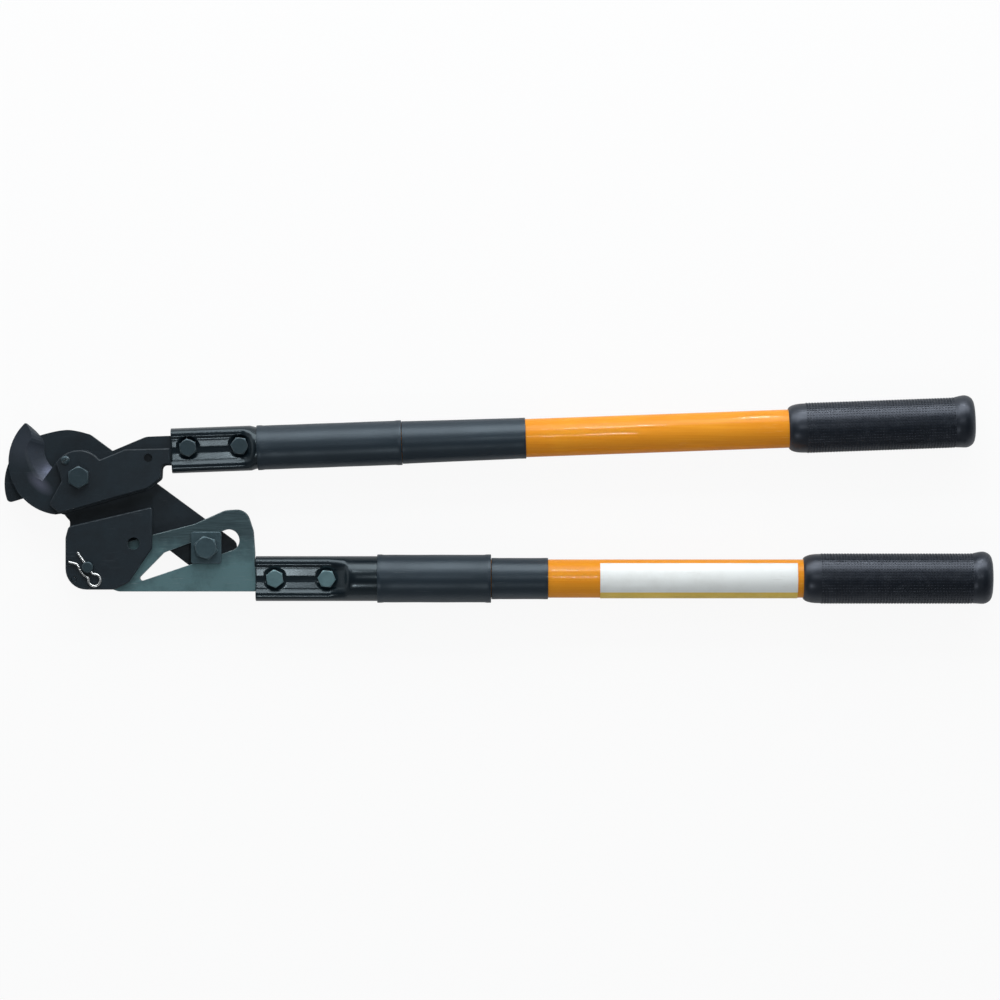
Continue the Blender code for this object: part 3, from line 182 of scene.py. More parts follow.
def blended(tree, share, low, high):
    """A colour between two others, by a share from 0 to 1."""
    low, high = (end if isinstance(end, bpy.types.NodeSocket) else (*end, 1.0) for end in (low, high))
    return put(tree, "Mix", {0: share, 6: low, 7: high}, data_type="RGBA").outputs[2]


def layered(tree, colour, *layers):
    """A colour with others laid over it in turn, each by its own share."""
    for share, over in layers:
        colour = blended(tree, share, colour, over)
    return colour


def ranged(tree, value, low, high, to_low=0.0, to_high=1.0):
    """A value stretched from one range to another, and held inside it."""
    inputs = {"Value": value, "From Min": low, "From Max": high, "To Min": to_low, "To Max": to_high}
    return put(tree, "MapRange", inputs).outputs["Result"]


def maths(tree, operation, *values):
    """One sum of up to three values."""
    return put(tree, "Math", dict(enumerate(values)), operation=operation).outputs[0]


def own_place(tree):
    """Where a spot lies on its piece."""
    return put(tree, "TexCoord", {}).outputs["Object"]


def stretched(tree, place, scale, turn=(0.0, 0.0, 0.0)):
    """Coordinates scaled unevenly and turned, so that a pattern on them runs in lines."""
    return put(tree, "Mapping", {"Vector": place, "Rotation": turn, "Scale": scale}).outputs[0]


def noise(tree, place, scale, detail=2.0, roughness=0.5):
    """A value that wanders from spot to spot."""
    inputs = {"Vector": place, "Scale": scale, "Detail": detail, "Roughness": roughness}
    return put(tree, "TexNoise", inputs).outputs["Fac"]


def split(tree, vector):
    """The three parts of a vector."""
    return put(tree, "SeparateXYZ", {"Vector": vector}).outputs


def distance(tree, place, point):
    """How far a spot lies from a point."""
    return put(tree, "VectorMath", {0: place, 1: point}, operation="DISTANCE").outputs["Value"]


def bumped(tree, height, strength, depth):
    """A normal that follows a height."""
    return put(tree, "Bump", {"Height": height, "Strength": strength, "Distance": depth}).outputs["Normal"]


# Worn edges: where a rounded edge turns away from the flat beside it, broken up by patches
edge_wear, given, result = effect(
    "edge_wear", {"Radius": 0.8 * mm, "Patch Scale": 160.0, "Amount": 0.5}, ["Mask"])
eased_normal = put(edge_wear, "Bevel", {"Radius": given["Radius"]}, samples=4).outputs["Normal"]
true_normal = put(edge_wear, "NewGeometry", {}).outputs["Normal"]
agreement = put(edge_wear, "VectorMath", {0: eased_normal, 1: true_normal}, operation="DOT_PRODUCT")
rim = ranged(edge_wear, agreement.outputs["Value"], 0.995, 0.93)
patches = noise(edge_wear, own_place(edge_wear), given["Patch Scale"], 5.0, 0.7)
limit = maths(edge_wear, "SUBTRACT", 0.85, maths(edge_wear, "MULTIPLY", given["Amount"], 0.5))
worn = ranged(edge_wear, maths(edge_wear, "SUBTRACT", patches, limit), -0.06, 0.06)
feed(edge_wear, result, {"Mask": maths(edge_wear, "MULTIPLY", rim, worn)})

# Forge grain: fine pits and lumps under paint, and slow patches of lighter and darker tone
forge_grain, given, result = effect("forge_grain", {"Scale": 900.0}, ["Height", "Tone"])
place = own_place(forge_grain)
lumps = noise(forge_grain, place, given["Scale"], 6.0)
pit_scale = maths(forge_grain, "MULTIPLY", given["Scale"], 0.55)
pits = put(forge_grain, "TexVoronoi", {"Vector": place, "Scale": pit_scale}).outputs["Distance"]
tone = noise(forge_grain, place, maths(forge_grain, "MULTIPLY", given["Scale"], 0.06), 5.0, 0.65)
feed(forge_grain, result, {"Height": maths(forge_grain, "MULTIPLY_ADD", pits, 0.4, lumps),
                           "Tone": ranged(forge_grain, tone, 0.3, 0.7)})

# Scuffs: short thin scratches in two directions, few and far between
scuffs, given, result = effect("scuffs", {"Scale": 60.0, "Amount": 0.5}, ["Mask"])
place = own_place(scuffs)
marks = []
for turn, cross in ((0.6, 34.0), (-0.9, 46.0)):
    lines = noise(scuffs, stretched(scuffs, place, (1.0, cross, cross), (0.2, 0.3, turn)), given["Scale"])
    marks.append(ranged(scuffs, lines, 0.66, 0.72))
sparse = ranged(scuffs, noise(scuffs, place, given["Scale"]), 0.5, 0.62)
kept = maths(scuffs, "MULTIPLY", sparse, given["Amount"])
feed(scuffs, result, {"Mask": maths(scuffs, "MULTIPLY", maths(scuffs, "MAXIMUM", *marks), kept)})


def paint_coat(tree, shader):
    """Satin black paint on a forging, with painted light over the front hook's tip and a painted highlight at
    its heel, and with its bump linked: its colour, its roughness and where the metal shows."""
    grain = use(tree, forge_grain, Scale=1100.0)
    wear = use(tree, edge_wear, Radius=0.7 * mm, Patch_Scale=170.0, Amount=0.55)["Mask"]
    scratch = use(tree, scuffs, Scale=55.0, Amount=0.5)["Mask"]
    place = own_place(tree)
    # Painted light: a lighter patch round the front hook's tip, and a painted highlight in a band by the heel
    # of its bevel
    from_lit_tip = distance(tree, place, (-385 * mm, 46 * mm, 26 * mm))
    heel = put(tree, "Mapping", {
        "Vector": place, "Location": (-370.5 * mm, 13.5 * mm, 26 * mm),
        "Rotation": (0.0, 0.0, math.radians(-42)), "Scale": (14 * mm, 6.5 * mm, 9 * mm)},
        vector_type="TEXTURE").outputs[0]
    from_heel_highlight = put(tree, "VectorMath", {0: heel}, operation="LENGTH").outputs["Value"]
    paint = layered(
        tree, blended(tree, grain["Tone"], (0.0052, 0.0105, 0.0155), (0.0108, 0.0192, 0.026)),
        (ranged(tree, from_lit_tip, 22 * mm, 5 * mm, 0.0, 0.75), (0.026, 0.033, 0.046)),
        (ranged(tree, from_heel_highlight, 1.0, 0.15, 0.0, 0.85), (0.068, 0.072, 0.102)),
        (scratch, (0.05, 0.062, 0.072)), (wear, (0.1, 0.12, 0.135)))
    rough = ranged(tree, grain["Tone"], 0.0, 1.0, 0.5, 0.38)
    feed(tree, shader, {"Normal": bumped(tree, grain["Height"], 0.35, 0.12 * mm), "Specular IOR Level": 0.35})
    return paint, rough, maths(tree, "MULTIPLY", wear, 0.7)


black_paint, tree, shader = finish("forged_black_paint")
paint, rough, metal = paint_coat(tree, shader)
feed(tree, shader, {"Base Color": paint, "Roughness": rough, "Metallic": metal})

# Ground bevel: the wheel takes the paint off along the throat and leaves oil-dark steel with fine lines; the
# paint comes back where the slant runs out into the flat. The ground steel is faded out toward the tip and made
# fullest near the heel, which paints the bevel's highlight low on the hook.
ground_bevel, tree, shader = finish("ground_bevel")
paint, rough, metal = paint_coat(tree, shader)
place = own_place(tree)
slant = split(tree, put(tree, "NewGeometry", {}).outputs["Normal"])["Z"]
slanted = ranged(tree, maths(tree, "ABSOLUTE", slant), 0.985, 0.885)
# Painted highlight: the lighter ground steel shows less toward the tip and most near the heel, where the bevel
# catches the light
lit_below_tip = ranged(tree, split(tree, place)["Y"], 48 * mm, 26 * mm, 0.12, 1.0)
heel_highlight = ranged(tree, distance(tree, place, (-365 * mm, 24 * mm, 19 * mm)), 12 * mm, 2 * mm, 0.35, 1.0)
bare_steel_and_highlight = maths(tree, "MULTIPLY", maths(tree, "MULTIPLY", slanted, lit_below_tip), heel_highlight)
lines = noise(tree, stretched(tree, place, (60.0, 2600.0, 300.0), (0.0, 0.0, 0.35)), 1.0, 4.0)
patch = ranged(tree, noise(tree, place, 70.0, 5.0), 0.35, 0.65)
steel = layered(tree, blended(tree, patch, (0.045, 0.05, 0.074), (0.085, 0.092, 0.125)),
                (ranged(tree, lines, 0.35, 0.65, 0.0, 0.6), (0.04, 0.046, 0.064)))
polish = ranged(tree, lines, 0.3, 0.7, 0.3, 0.4)
feed(tree, shader, {
    "Base Color": blended(tree, bare_steel_and_highlight, paint, steel),
    "Metallic": maths(tree, "MAXIMUM", metal, maths(tree, "MULTIPLY", bare_steel_and_highlight, 0.8)),
    "Roughness": put(tree, "Mix", {0: bare_steel_and_highlight, 2: rough, 3: polish}).outputs[0]})


def normals_beside(made):
    """The normals of the faces on either side of each edge."""
    beside = {}
    for face in made.data.polygons:
        for key in face.edge_keys:
            beside.setdefault(key, []).append(face.normal.copy())
    return beside


def grind(blade):
    """Ease the line where the ground slant meets the flat, and give the slant its own finish."""
    steepest, shallowest, flat, run_out = 0.8, 0.92, 0.99, 0.9985
    reach = 9 * mm
    clear_picks(blade, "EDGE")
    beside = normals_beside(blade)
    ground = [face.center.copy() for face in blade.data.polygons
              if steepest < abs(face.normal.z) < shallowest]
    low = [min(center[axis] for center in ground) for axis in range(2)]
    high = [max(center[axis] for center in ground) for axis in range(2)]
    for edge in blade.data.edges:
        slants = sorted(abs(normal.z) for normal in beside[edge.key])
        edge.select = len(slants) == 2 and steepest < slants[0] < shallowest and slants[1] > flat
    bpy.ops.object.mode_set(mode="EDIT")
    bpy.ops.mesh.bevel(offset=2.2 * mm, offset_type="OFFSET", segments=6, affect="EDGES", clamp_overlap=False)
    bpy.ops.object.mode_set(mode="OBJECT")
    for face in blade.data.polygons:
        near = all(low[axis] - reach < face.center[axis] < high[axis] + reach for axis in range(2))
        face.material_index = 1 if near and steepest < abs(face.normal.z) < run_out else 0


def round_tip(blade, x, y, radius):
    """Round the upright corner of a blade at a point; all in mm."""
    tall, plumb, near = 1 * mm, 0.2 * mm, 1.5 * mm
    clear_picks(blade, "EDGE")
    for edge in blade.data.edges:
        ends = [blade.data.vertices[index].co for index in edge.vertices]
        upright = abs(ends[0].z - ends[1].z) > tall and (ends[0] - ends[1]).xy.length < plumb
        edge.select = upright and all(math.hypot(end.x - x * mm, end.y - y * mm) < near for end in ends)
    bpy.ops.object.mode_set(mode="EDIT")
    bpy.ops.mesh.bevel(offset=radius * mm, offset_type="OFFSET", segments=6, affect="EDGES",
                       clamp_overlap=True)
    bpy.ops.object.mode_set(mode="OBJECT")


def ease_outline(plate):
    """Round the shallow upright corners between the longer runs of a plate's curved outline."""
    plumb, level, room = 0.05 * mm, 0.1 * mm, 2 * mm
    least_bend, most_bend = math.radians(2), math.radians(32)
    steepest, shallowest = 0.05, 0.99
    clear_picks(plate, "EDGE")
    beside = normals_beside(plate)
    corners = [vertex.co.copy() for vertex in plate.data.vertices]
    ground = set()
    for face in plate.data.polygons:
        if steepest < abs(face.normal.z) < shallowest:
            ground.update(face.vertices)
    reach = {}
    for first, last in beside:
        span = corners[first] - corners[last]
        if abs(span.z) < level:
            for end in (first, last):
                reach[end] = min(reach.get(end, span.length), span.length)
    for edge in plate.data.edges:
        first, last = edge.vertices
        upright = (corners[first] - corners[last]).xy.length < plumb
        roomy = min(reach.get(first, 0.0), reach.get(last, 0.0)) > room
        normals = beside[edge.key]
        if upright and roomy and len(normals) == 2 and first not in ground and last not in ground:
            edge.select = least_bend < normals[0].angle(normals[1]) < most_bend
    bpy.ops.object.mode_set(mode="EDIT")
    bpy.ops.mesh.bevel(offset_type="PERCENT", offset_pct=36, segments=3, affect="EDGES", clamp_overlap=False)
    bpy.ops.object.mode_set(mode="OBJECT")


front_blade = start_from("lower_blade", "front_blade")
round_tip(front_blade, -382.4, 62.9, 1.2)
ease_outline(front_blade)
fit(front_blade, "fixed_half", "lower_blade", "black_steel", black_paint, ground_bevel)
grind(front_blade)
soften(front_blade, 0.45 * mm)


# Rear blade. A second forged hook that faces the first, with a long tail for the slide bolt and a lobe for
# the clevis. It is painted and ground like the front one, and turns against its back on the pivot.

def shift_corner(made, x, y, reach, by):
    """Move the corners of an outline that lie near a point; all in mm."""
    for vertex in made.data.vertices:
        if math.hypot(vertex.co.x - x * mm, vertex.co.y - y * mm) < reach * mm:
            vertex.co += Vector((by[0] * mm, by[1] * mm, 0.0))


rear_blade = start_from("upper_blade", "rear_blade")
arch_and_back = ((-372.9, 53.7, (0.0, -1.6)), (-364.8, 56.0, (0.0, -1.6)), (-356.5, 56.8, (0.0, -0.4)),
                 (-348.1, 55.9, (0.0, 1.4)), (-340.0, 53.3, (0.0, 2.6)), (-334.1, 52.6, (0.6, 1.5)),
                 (-332.8, 52.3, (0.7, 1.4)), (-331.5, 51.8, (0.8, 1.3)), (-330.4, 51.1, (0.9, 1.2)),
                 (-215.1, -34.0, (1.0, 1.4)), (-213.9, -35.1, (0.9, 1.1)), (-213.0, -36.4, (0.7, 0.8)),
                 (-212.3, -37.8, (0.4, 0.5)))
hub_to_lobe = ((-350.3, -0.9, (-5.2, -10.1)), (-346.3, -2.8, (-0.7, -9.6)))
for x, y, by in arch_and_back + hub_to_lobe:
    shift_corner(rear_blade, x, y, 0.5, by)
for x, y, radius in ((-397.4, -2.0, 3.2), (-347.0, -12.4, 5.6), (-355.5, -11.0, 2.6)):
    round_tip(rear_blade, x, y, radius)
ease_outline(rear_blade)
fit(rear_blade, "swinging_half", "upper_blade", "black_steel", black_paint, ground_bevel)
grind(rear_blade)
soften(rear_blade, 0.45 * mm)


# Main pivot. A black-oxide hex bolt through both blades, on a bronze bush, with a plain washer and a low
# nut behind; a small round-headed screw beside its head keeps it from turning.

def turned(name, stations, sides=48, ends="filled"):
    """Turn a profile about Z: a circle is extruded and scaled from station to station, and its two ends are
    filled, bridged to each other, or left open."""
    height, radius = stations[0]
    bpy.ops.mesh.primitive_circle_add(vertices=sides, radius=radius, location=(0.0, 0.0, height))
    made = bpy.context.object
    made.name = made.data.name = name
    bpy.ops.object.transform_apply(location=True, rotation=True, scale=True)
    bpy.ops.object.mode_set(mode="EDIT")
    bpy.ops.mesh.select_mode(type="EDGE")
    bpy.ops.mesh.select_all(action="SELECT")
    for next_height, next_radius in stations[1:]:
        rise = (0.0, 0.0, next_height - height)
        bpy.ops.mesh.extrude_region_move(TRANSFORM_OT_translate={"value": rise})
        share = next_radius / radius
        bpy.ops.transform.resize(value=(share, share, 1.0), center_override=(0.0, 0.0, next_height))
        height, radius = next_height, next_radius
    bpy.ops.mesh.select_all(action="DESELECT")
    bpy.ops.mesh.select_non_manifold()
    if ends == "bridged":
        bpy.ops.mesh.bridge_edge_loops()
    elif ends == "filled":
        bpy.ops.mesh.fill_holes(sides=0)
    bpy.ops.mesh.select_all(action="SELECT")
    bpy.ops.mesh.normals_make_consistent(inside=False)
    bpy.ops.object.mode_set(mode="OBJECT")
    return made


def set_down(made, location, rotation):
    """Move a piece to its place and put that place into its mesh."""
    pick(made)
    made.location = location
    made.rotation_euler = rotation
    bpy.ops.object.transform_apply(location=True, rotation=True, scale=True)


def stand(made, spot, degrees=0.0):
    """Set a piece that was made along Z upright on a spot, turned by some degrees."""
    set_down(made, (spot.x, spot.y, 0.0), (0.0, 0.0, math.radians(degrees)))


def weld(made, gap=0.004 * mm):
    """Merge the points of a piece that lie together."""
    pick(made)
    bpy.ops.object.mode_set(mode="EDIT")
    bpy.ops.mesh.select_all(action="SELECT")
    bpy.ops.mesh.remove_doubles(threshold=gap)
    bpy.ops.mesh.normals_make_consistent(inside=False)
    bpy.ops.object.mode_set(mode="OBJECT")


def boolean(made, tool, operation):
    """Cut, join or trim a piece with another solid, which is then thrown away."""
    change = made.modifiers.new(operation.lower(), "BOOLEAN")
    change.operation = operation
    change.object = tool
    change.solver = "EXACT"
    apply_last(made)
    bpy.data.objects.remove(tool, do_unlink=True)


def hexagon_bar(name, flats, low, high, broken):
    """A hexagon bar along Z whose corners are turned off at its top, its bottom, or both."""
    bpy.ops.mesh.primitive_cylinder_add(vertices=6, radius=flats / math.sqrt(3), depth=high - low,
                                        location=(0.0, 0.0, (low + high) / 2))
    made = bpy.context.object
    made.name = made.data.name = name
    bpy.ops.object.transform_apply(location=True, rotation=True, scale=True)
    face = 0.475 * flats
    drop = 0.5 * (high - low)
    wide = face + drop / math.tan(math.radians(30))
    stations = [(low, wide), (high, wide)]
    if "top" in broken:
        stations = [(low, wide), (high - drop, wide), (high, face)]
    if "bottom" in broken:
        stations = [(low, face), (low + drop, wide)] + stations[1:]
    boolean(made, turned("turning_form", stations), "INTERSECT")
    return made


def thread(low, high, radius, pitch=1.25 * mm, depth=0.55 * mm):
    """Stations of a threaded end, from its chamfered point up to the plain shank."""
    stations = [(low, radius - 1.6 * depth), (low + depth, radius - 0.6 * depth)]
    height = low + depth
    while height + pitch < high:
        stations += [(height + 0.3 * pitch, radius), (height + 0.5 * pitch, radius)]
        stations += [(height + 0.8 * pitch, radius - depth), (height + pitch, radius - depth)]
        height += pitch
    return stations + [(high, radius)]


def hex_bolt(name, flats, shank, tip, thread_end, seat, top):
    """A forged hex bolt along Z with a turned-off head and a rolled thread."""
    made = hexagon_bar(name, flats, seat, top, ["top"])
    stations = thread(tip, thread_end, shank) + [(seat + (top - seat) / 2, shank)]
    boolean(made, turned("shank", stations), "UNION")
    soften(made, 0.22 * mm, segments=2)
    return made


def hex_nut(name, flats, bore, low, high):
    """A hex nut along Z, its corners turned off on both faces."""
    made = hexagon_bar(name, flats, low, high, ["top", "bottom"])
    stations = [(low - 1 * mm, bore), (high + 1 * mm, bore)]
    boolean(made, turned("bore", stations), "DIFFERENCE")
    weld(made, 0.02 * mm)
    soften(made, 0.15 * mm, segments=2)
    weld(made)
    return made


def bolt_finish(name, dark, light, metal):
    """Chemically darkened bolt steel between two tones, rubbed pale along its edges."""
    made, tree, shader = finish(name)
    grain = use(tree, forge_grain, Scale=1500.0)
    wear = use(tree, edge_wear, Radius=0.5 * mm, Patch_Scale=260.0, Amount=0.75)["Mask"]
    scratch = use(tree, scuffs, Scale=90.0, Amount=0.6)["Mask"]
    feed(tree, shader, {
        "Base Color": layered(tree, blended(tree, grain["Tone"], dark, light),
                              (scratch, (0.12, 0.135, 0.145)), (wear, (0.22, 0.25, 0.26))),
        "Metallic": metal,
        "Roughness": ranged(tree, grain["Tone"], 0.0, 1.0, 0.46, 0.33),
        "Normal": bumped(tree, grain["Height"], 0.2, 0.06 * mm)})
    return made


oxide_steel = bolt_finish("black_oxide_steel", (0.021, 0.038, 0.047), (0.039, 0.064, 0.076), 0.5)
pivot_low, pivot_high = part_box("pivot_bolt")
pivot = (pivot_low + pivot_high) / 2
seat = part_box("lower_blade")[1].z + 0.1 * mm
rear_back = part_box("upper_blade")[0].z
pivot_bolt = hex_bolt("pivot_bolt_shown", flats=16.0 * mm, shank=6.0 * mm, tip=pivot_low.z,
                      thread_end=rear_back, seat=seat, top=pivot_high.z)
stand(pivot_bolt, pivot)
fit(pivot_bolt, "fixed_half", "pivot_bolt", "bolt_steel", oxide_steel)

nut_low, nut_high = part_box("pivot_nut")
pivot_nut = hex_nut("pivot_nut_shown", flats=19.0 * mm, bore=6.2 * mm, low=nut_low.z, high=nut_high.z)
stand(pivot_nut, pivot)
fit(pivot_nut, "fixed_half", "pivot_nut", "bolt_steel", oxide_steel)

washer_low, washer_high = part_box("pivot_washer")
inner, outer = 6.4 * mm, 12.0 * mm
stations = [(washer_low.z, inner), (washer_low.z, outer), (washer_high.z, outer), (washer_high.z, inner)]
pivot_washer = turned("pivot_washer_shown", stations, ends="bridged")
soften(pivot_washer, 0.25 * mm)
stand(pivot_washer, pivot)
fit(pivot_washer, "fixed_half", "pivot_washer", "bolt_steel", oxide_steel)

screw_low, screw_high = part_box("pivot_lock_screw")
stations = [(screw_low.z, 1.9 * mm), (seat, 1.9 * mm), (seat, 3.6 * mm), (seat + 0.8 * mm, 3.5 * mm)]
stations += [(seat + 1.4 * mm, 2.9 * mm), (screw_high.z - 0.1 * mm, 1.8 * mm), (screw_high.z, 0.6 * mm)]
lock_screw = turned("lock_screw_shown", stations)
bpy.ops.mesh.primitive_cube_add(size=1.0, location=(0.0, 0.0, screw_high.z),
                                scale=(9 * mm, 0.9 * mm, 1.6 * mm), rotation=(0.0, 0.0, math.radians(35)))
driver_slot = bpy.context.object
bpy.ops.object.transform_apply(location=True, rotation=True, scale=True)
boolean(lock_screw, driver_slot, "DIFFERENCE")
soften(lock_screw, 0.12 * mm, segments=2)
stand(lock_screw, (screw_low + screw_high) / 2)
fit(lock_screw, "fixed_half", "pivot_lock_screw", "bolt_steel", oxide_steel)

# Bushes: plain bearing bronze, turned, and dull with grease; they stay as the solids are
bearing_bronze, tree, shader = finish("bearing_bronze")
grain = use(tree, forge_grain, Scale=1400.0)
feed(tree, shader, {
    "Base Color": blended(tree, grain["Tone"], (0.2, 0.12, 0.05), (0.32, 0.2, 0.085)),
    "Metallic": 0.9,
    "Roughness": ranged(tree, grain["Tone"], 0.0, 1.0, 0.5, 0.34),
    "Normal": bumped(tree, grain["Height"], 0.15, 0.05 * mm)})
for bush in ("pivot_bush", "slide_bush"):
    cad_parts[bush].data.materials.clear()
    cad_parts[bush].data.materials.append(bearing_bronze)


# Clevis. A flame-cut cheek plate stands off the rear blade's lobe on a spacer, held by two rivets filed
# flush, so that the bracket's tongue turns between them. All of it is painted with the blades.
filed = {"segments": 2, "angle": 40}
for node, name, edge, manner in (("cheek_plate", "clevis_cheek", 0.35 * mm, {}),
                                 ("clevis_spacer", "clevis_spacer_shown", 0.3 * mm, {}),
                                 ("clevis_rivet_upper", "rivet_upper", 0.1 * mm, filed),
                                 ("clevis_rivet_lower", "rivet_lower", 0.1 * mm, filed)):
    made = start_from(node, name)
    soften(made, edge, **manner)
    fit(made, "swinging_half", node, "black_steel", black_paint)


# Bracket. Laser-cut steel plate with a slot for the slide bolt and a tongue for the latch pin; it is
# brushed lengthwise and oil-blackened, so it looks paler and greener than the painted blades.
brushed_steel, tree, shader = finish("brushed_bracket_steel")
grain = use(tree, forge_grain, Scale=700.0)
wear = use(tree, edge_wear, Radius=0.7 * mm, Patch_Scale=200.0, Amount=0.8)["Mask"]
scratch = use(tree, scuffs, Scale=70.0, Amount=0.7)["Mask"]
place = own_place(tree)
brush = noise(tree, stretched(tree, place, (55.0, 2400.0, 900.0), (0.0, 0.0, math.radians(-86))), 1.0, 5.0)
# The plate is darker along its upper part towards the blades and lighter below, graded along Y with a wandering
# edge between
edge_wander = noise(tree, place, 38.0, 4.0, 0.6)
drift = maths(tree, "MULTIPLY_ADD", maths(tree, "SUBTRACT", edge_wander, 0.5), 40 * mm, split(tree, place)["Y"])
darker_toward_head = ranged(tree, drift, -52 * mm, -30 * mm)
feed(tree, shader, {
    "Base Color": layered(
        tree, blended(tree, darker_toward_head, (0.097, 0.188, 0.202), (0.027, 0.05, 0.059)),
        (ranged(tree, brush, 0.4, 0.75, 0.0, 0.5), (0.11, 0.175, 0.185)),
        (ranged(tree, grain["Tone"], 0.5, 1.0, 0.0, 0.45), (0.03, 0.055, 0.062)),
        (scratch, (0.22, 0.27, 0.28)), (wear, (0.28, 0.34, 0.35))),
    "Metallic": 0.4,
    "Roughness": ranged(tree, brush, 0.3, 0.7, 0.36, 0.52),
    "Normal": bumped(tree, brush, 0.15, 0.05 * mm)})

bracket = start_from("handle_bracket", "bracket")
shift_corner(bracket, -285.3, -62.0, 3.2, (-3.6, -1.6))
shift_corner(bracket, -273.1, -42.0, 1.9, (2.6, -0.9))
ease_outline(bracket)
soften(bracket, 0.3 * mm, plate=True)
fit(bracket, "swinging_half", "handle_bracket", "brushed_steel", brushed_steel)


# Slide bolt. A black-oxide bolt runs through the rear blade's tail and the bracket's slot, with a square
# keeper plate under its head and a nut behind.
slide_steel = bolt_finish("oiled_slide_steel", (0.031, 0.058, 0.07), (0.058, 0.098, 0.114), 0.45)
slide_low, slide_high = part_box("slide_bolt")
slide = (slide_low + slide_high) / 2
keeper_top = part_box("keeper_plate")[1].z
slide_bolt = hex_bolt("slide_bolt_shown", flats=17.0 * mm, shank=5.0 * mm, tip=slide_low.z,
                      thread_end=rear_back, seat=keeper_top + 0.1 * mm, top=slide_high.z)
stand(slide_bolt, slide, 12)
fit(slide_bolt, "swinging_half", "slide_bolt", "bolt_steel", slide_steel)
nut_low, nut_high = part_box("slide_nut")
slide_nut = hex_nut("slide_nut_shown", flats=17.0 * mm, bore=5.2 * mm, low=nut_low.z, high=nut_high.z)
stand(slide_nut, slide, 20)
fit(slide_nut, "swinging_half", "slide_nut", "bolt_steel", slide_steel)
keeper = start_from("keeper_plate", "keeper")
soften(keeper, 0.25 * mm)
fit(keeper, "swinging_half", "keeper_plate", "black_steel", slide_steel)


# Latch pin and spring clip. A headed pin through the clevis and the bracket's tongue is locked by a clip of
# bright zinc-plated spring wire: a straight leg through the pin, an eye, and a waved arm round it.
pin = start_from("latch_pin", "latch_pin_shown")
soften(pin, 0.2 * mm, segments=2)
fit(pin, "swinging_half", "latch_pin", "bolt_steel", oxide_steel)

zinc_wire, tree, shader = finish("zinc_wire")
grain = use(tree, forge_grain, Scale=2200.0)
feed(tree, shader, {
    "Base Color": blended(tree, grain["Tone"], (0.7, 0.71, 0.7), (0.86, 0.87, 0.86)),
    "Metallic": 1.0,
    "Roughness": ranged(tree, grain["Tone"], 0.0, 1.0, 0.32, 0.2),
    "Normal": bumped(tree, grain["Height"], 0.1, 0.03 * mm)})

# The wire's route from its straight leg through the eye to the waved arm, in mm along the leg and off it
route = [(-14.5, 0.0), (-9.0, 0.0), (-4.0, 0.0), (1.0, 0.0), (5.0, 0.0)]
EYE_RADIUS, EYE_STEPS = 4.9, 14
for step in range(EYE_STEPS + 1):
    turn = math.radians(200 + 300 * step / EYE_STEPS)
    route.append((11.6 + EYE_RADIUS * math.cos(turn), 1.6 + EYE_RADIUS * math.sin(turn)))
route += [(5.8, 5.3), (3.0, 6.4), (0.0, 6.5), (-3.2, 6.1), (-6.6, 5.6), (-8.6, 7.0), (-10.4, 8.7)]
route += [(-12.4, 10.2)]
pin_low, pin_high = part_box("latch_pin")
pin_centre = (pin_low + pin_high) / 2
wire_low, wire_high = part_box("r_clip")
leg = Vector((0.575005, -0.818150, 0.0))
off = Vector((-0.818150, -0.575005, 0.0))
path = bpy.data.curves.new("clip_wire", "CURVE")
path.dimensions = "3D"
path.bevel_depth = 0.95 * mm
path.bevel_resolution = 4
path.resolution_u = 6
path.use_fill_caps = True
spline = path.splines.new("NURBS")
spline.points.add(len(route) - 1)
spline.use_endpoint_u = True
spline.order_u = 3
for point, (along, aside) in zip(spline.points, route):
    spot = leg * along * mm + off * aside * mm
    point.co = (pin_centre.x + spot.x, pin_centre.y + spot.y, (wire_low.z + wire_high.z) / 2, 1.0)
clip = bpy.data.objects.new("spring_clip_shown", path)
bpy.context.scene.collection.objects.link(clip)
pick(clip)
bpy.ops.object.convert(target="MESH")
clip = bpy.context.object
weld(clip, 0.01 * mm)
soften(clip, 0.3 * mm, angle=60, smooth=60)
fit(clip, "spring_clip", "r_clip", "zinc_wire", zinc_wire)


# Ferrules. Steel pipe sockets pressed flat front and back over the tangs, in glossy black enamel, each held
# by two hex bolts whose heads sit in the pressed trough.
enamel, tree, shader = finish("ferrule_enamel")
grain = use(tree, forge_grain, Scale=450.0)
wear = use(tree, edge_wear, Radius=0.9 * mm, Patch_Scale=150.0, Amount=0.5)["Mask"]
scratch = use(tree, scuffs, Scale=50.0, Amount=0.5)["Mask"]
coat = blended(tree, grain["Tone"], (0.0035, 0.0072, 0.0105), (0.0065, 0.0115, 0.0155))
feed(tree, shader, {
    "Base Color": layered(tree, coat, (scratch, (0.05, 0.06, 0.07)), (wear, (0.14, 0.155, 0.165))),
    "Metallic": maths(tree, "MULTIPLY", wear, 0.7),
    "Roughness": ranged(tree, grain["Tone"], 0.0, 1.0, 0.26, 0.17),
    "Specular Tint": (0.8, 0.94, 1.0, 1.0),
    "Normal": bumped(tree, grain["Height"], 0.08, 0.12 * mm)})
phosphate = bolt_finish("phosphated_steel", (0.072, 0.135, 0.15), (0.12, 0.205, 0.22), 0.35)


def held(share):
    """A share kept from 0 to 1."""
    return min(max(share, 0.0), 1.0)


def eased(value, low, high):
    """A share from 0 to 1 that starts and ends gently."""
    share = held((value - low) / (high - low))
    return share * share * (3 - 2 * share)


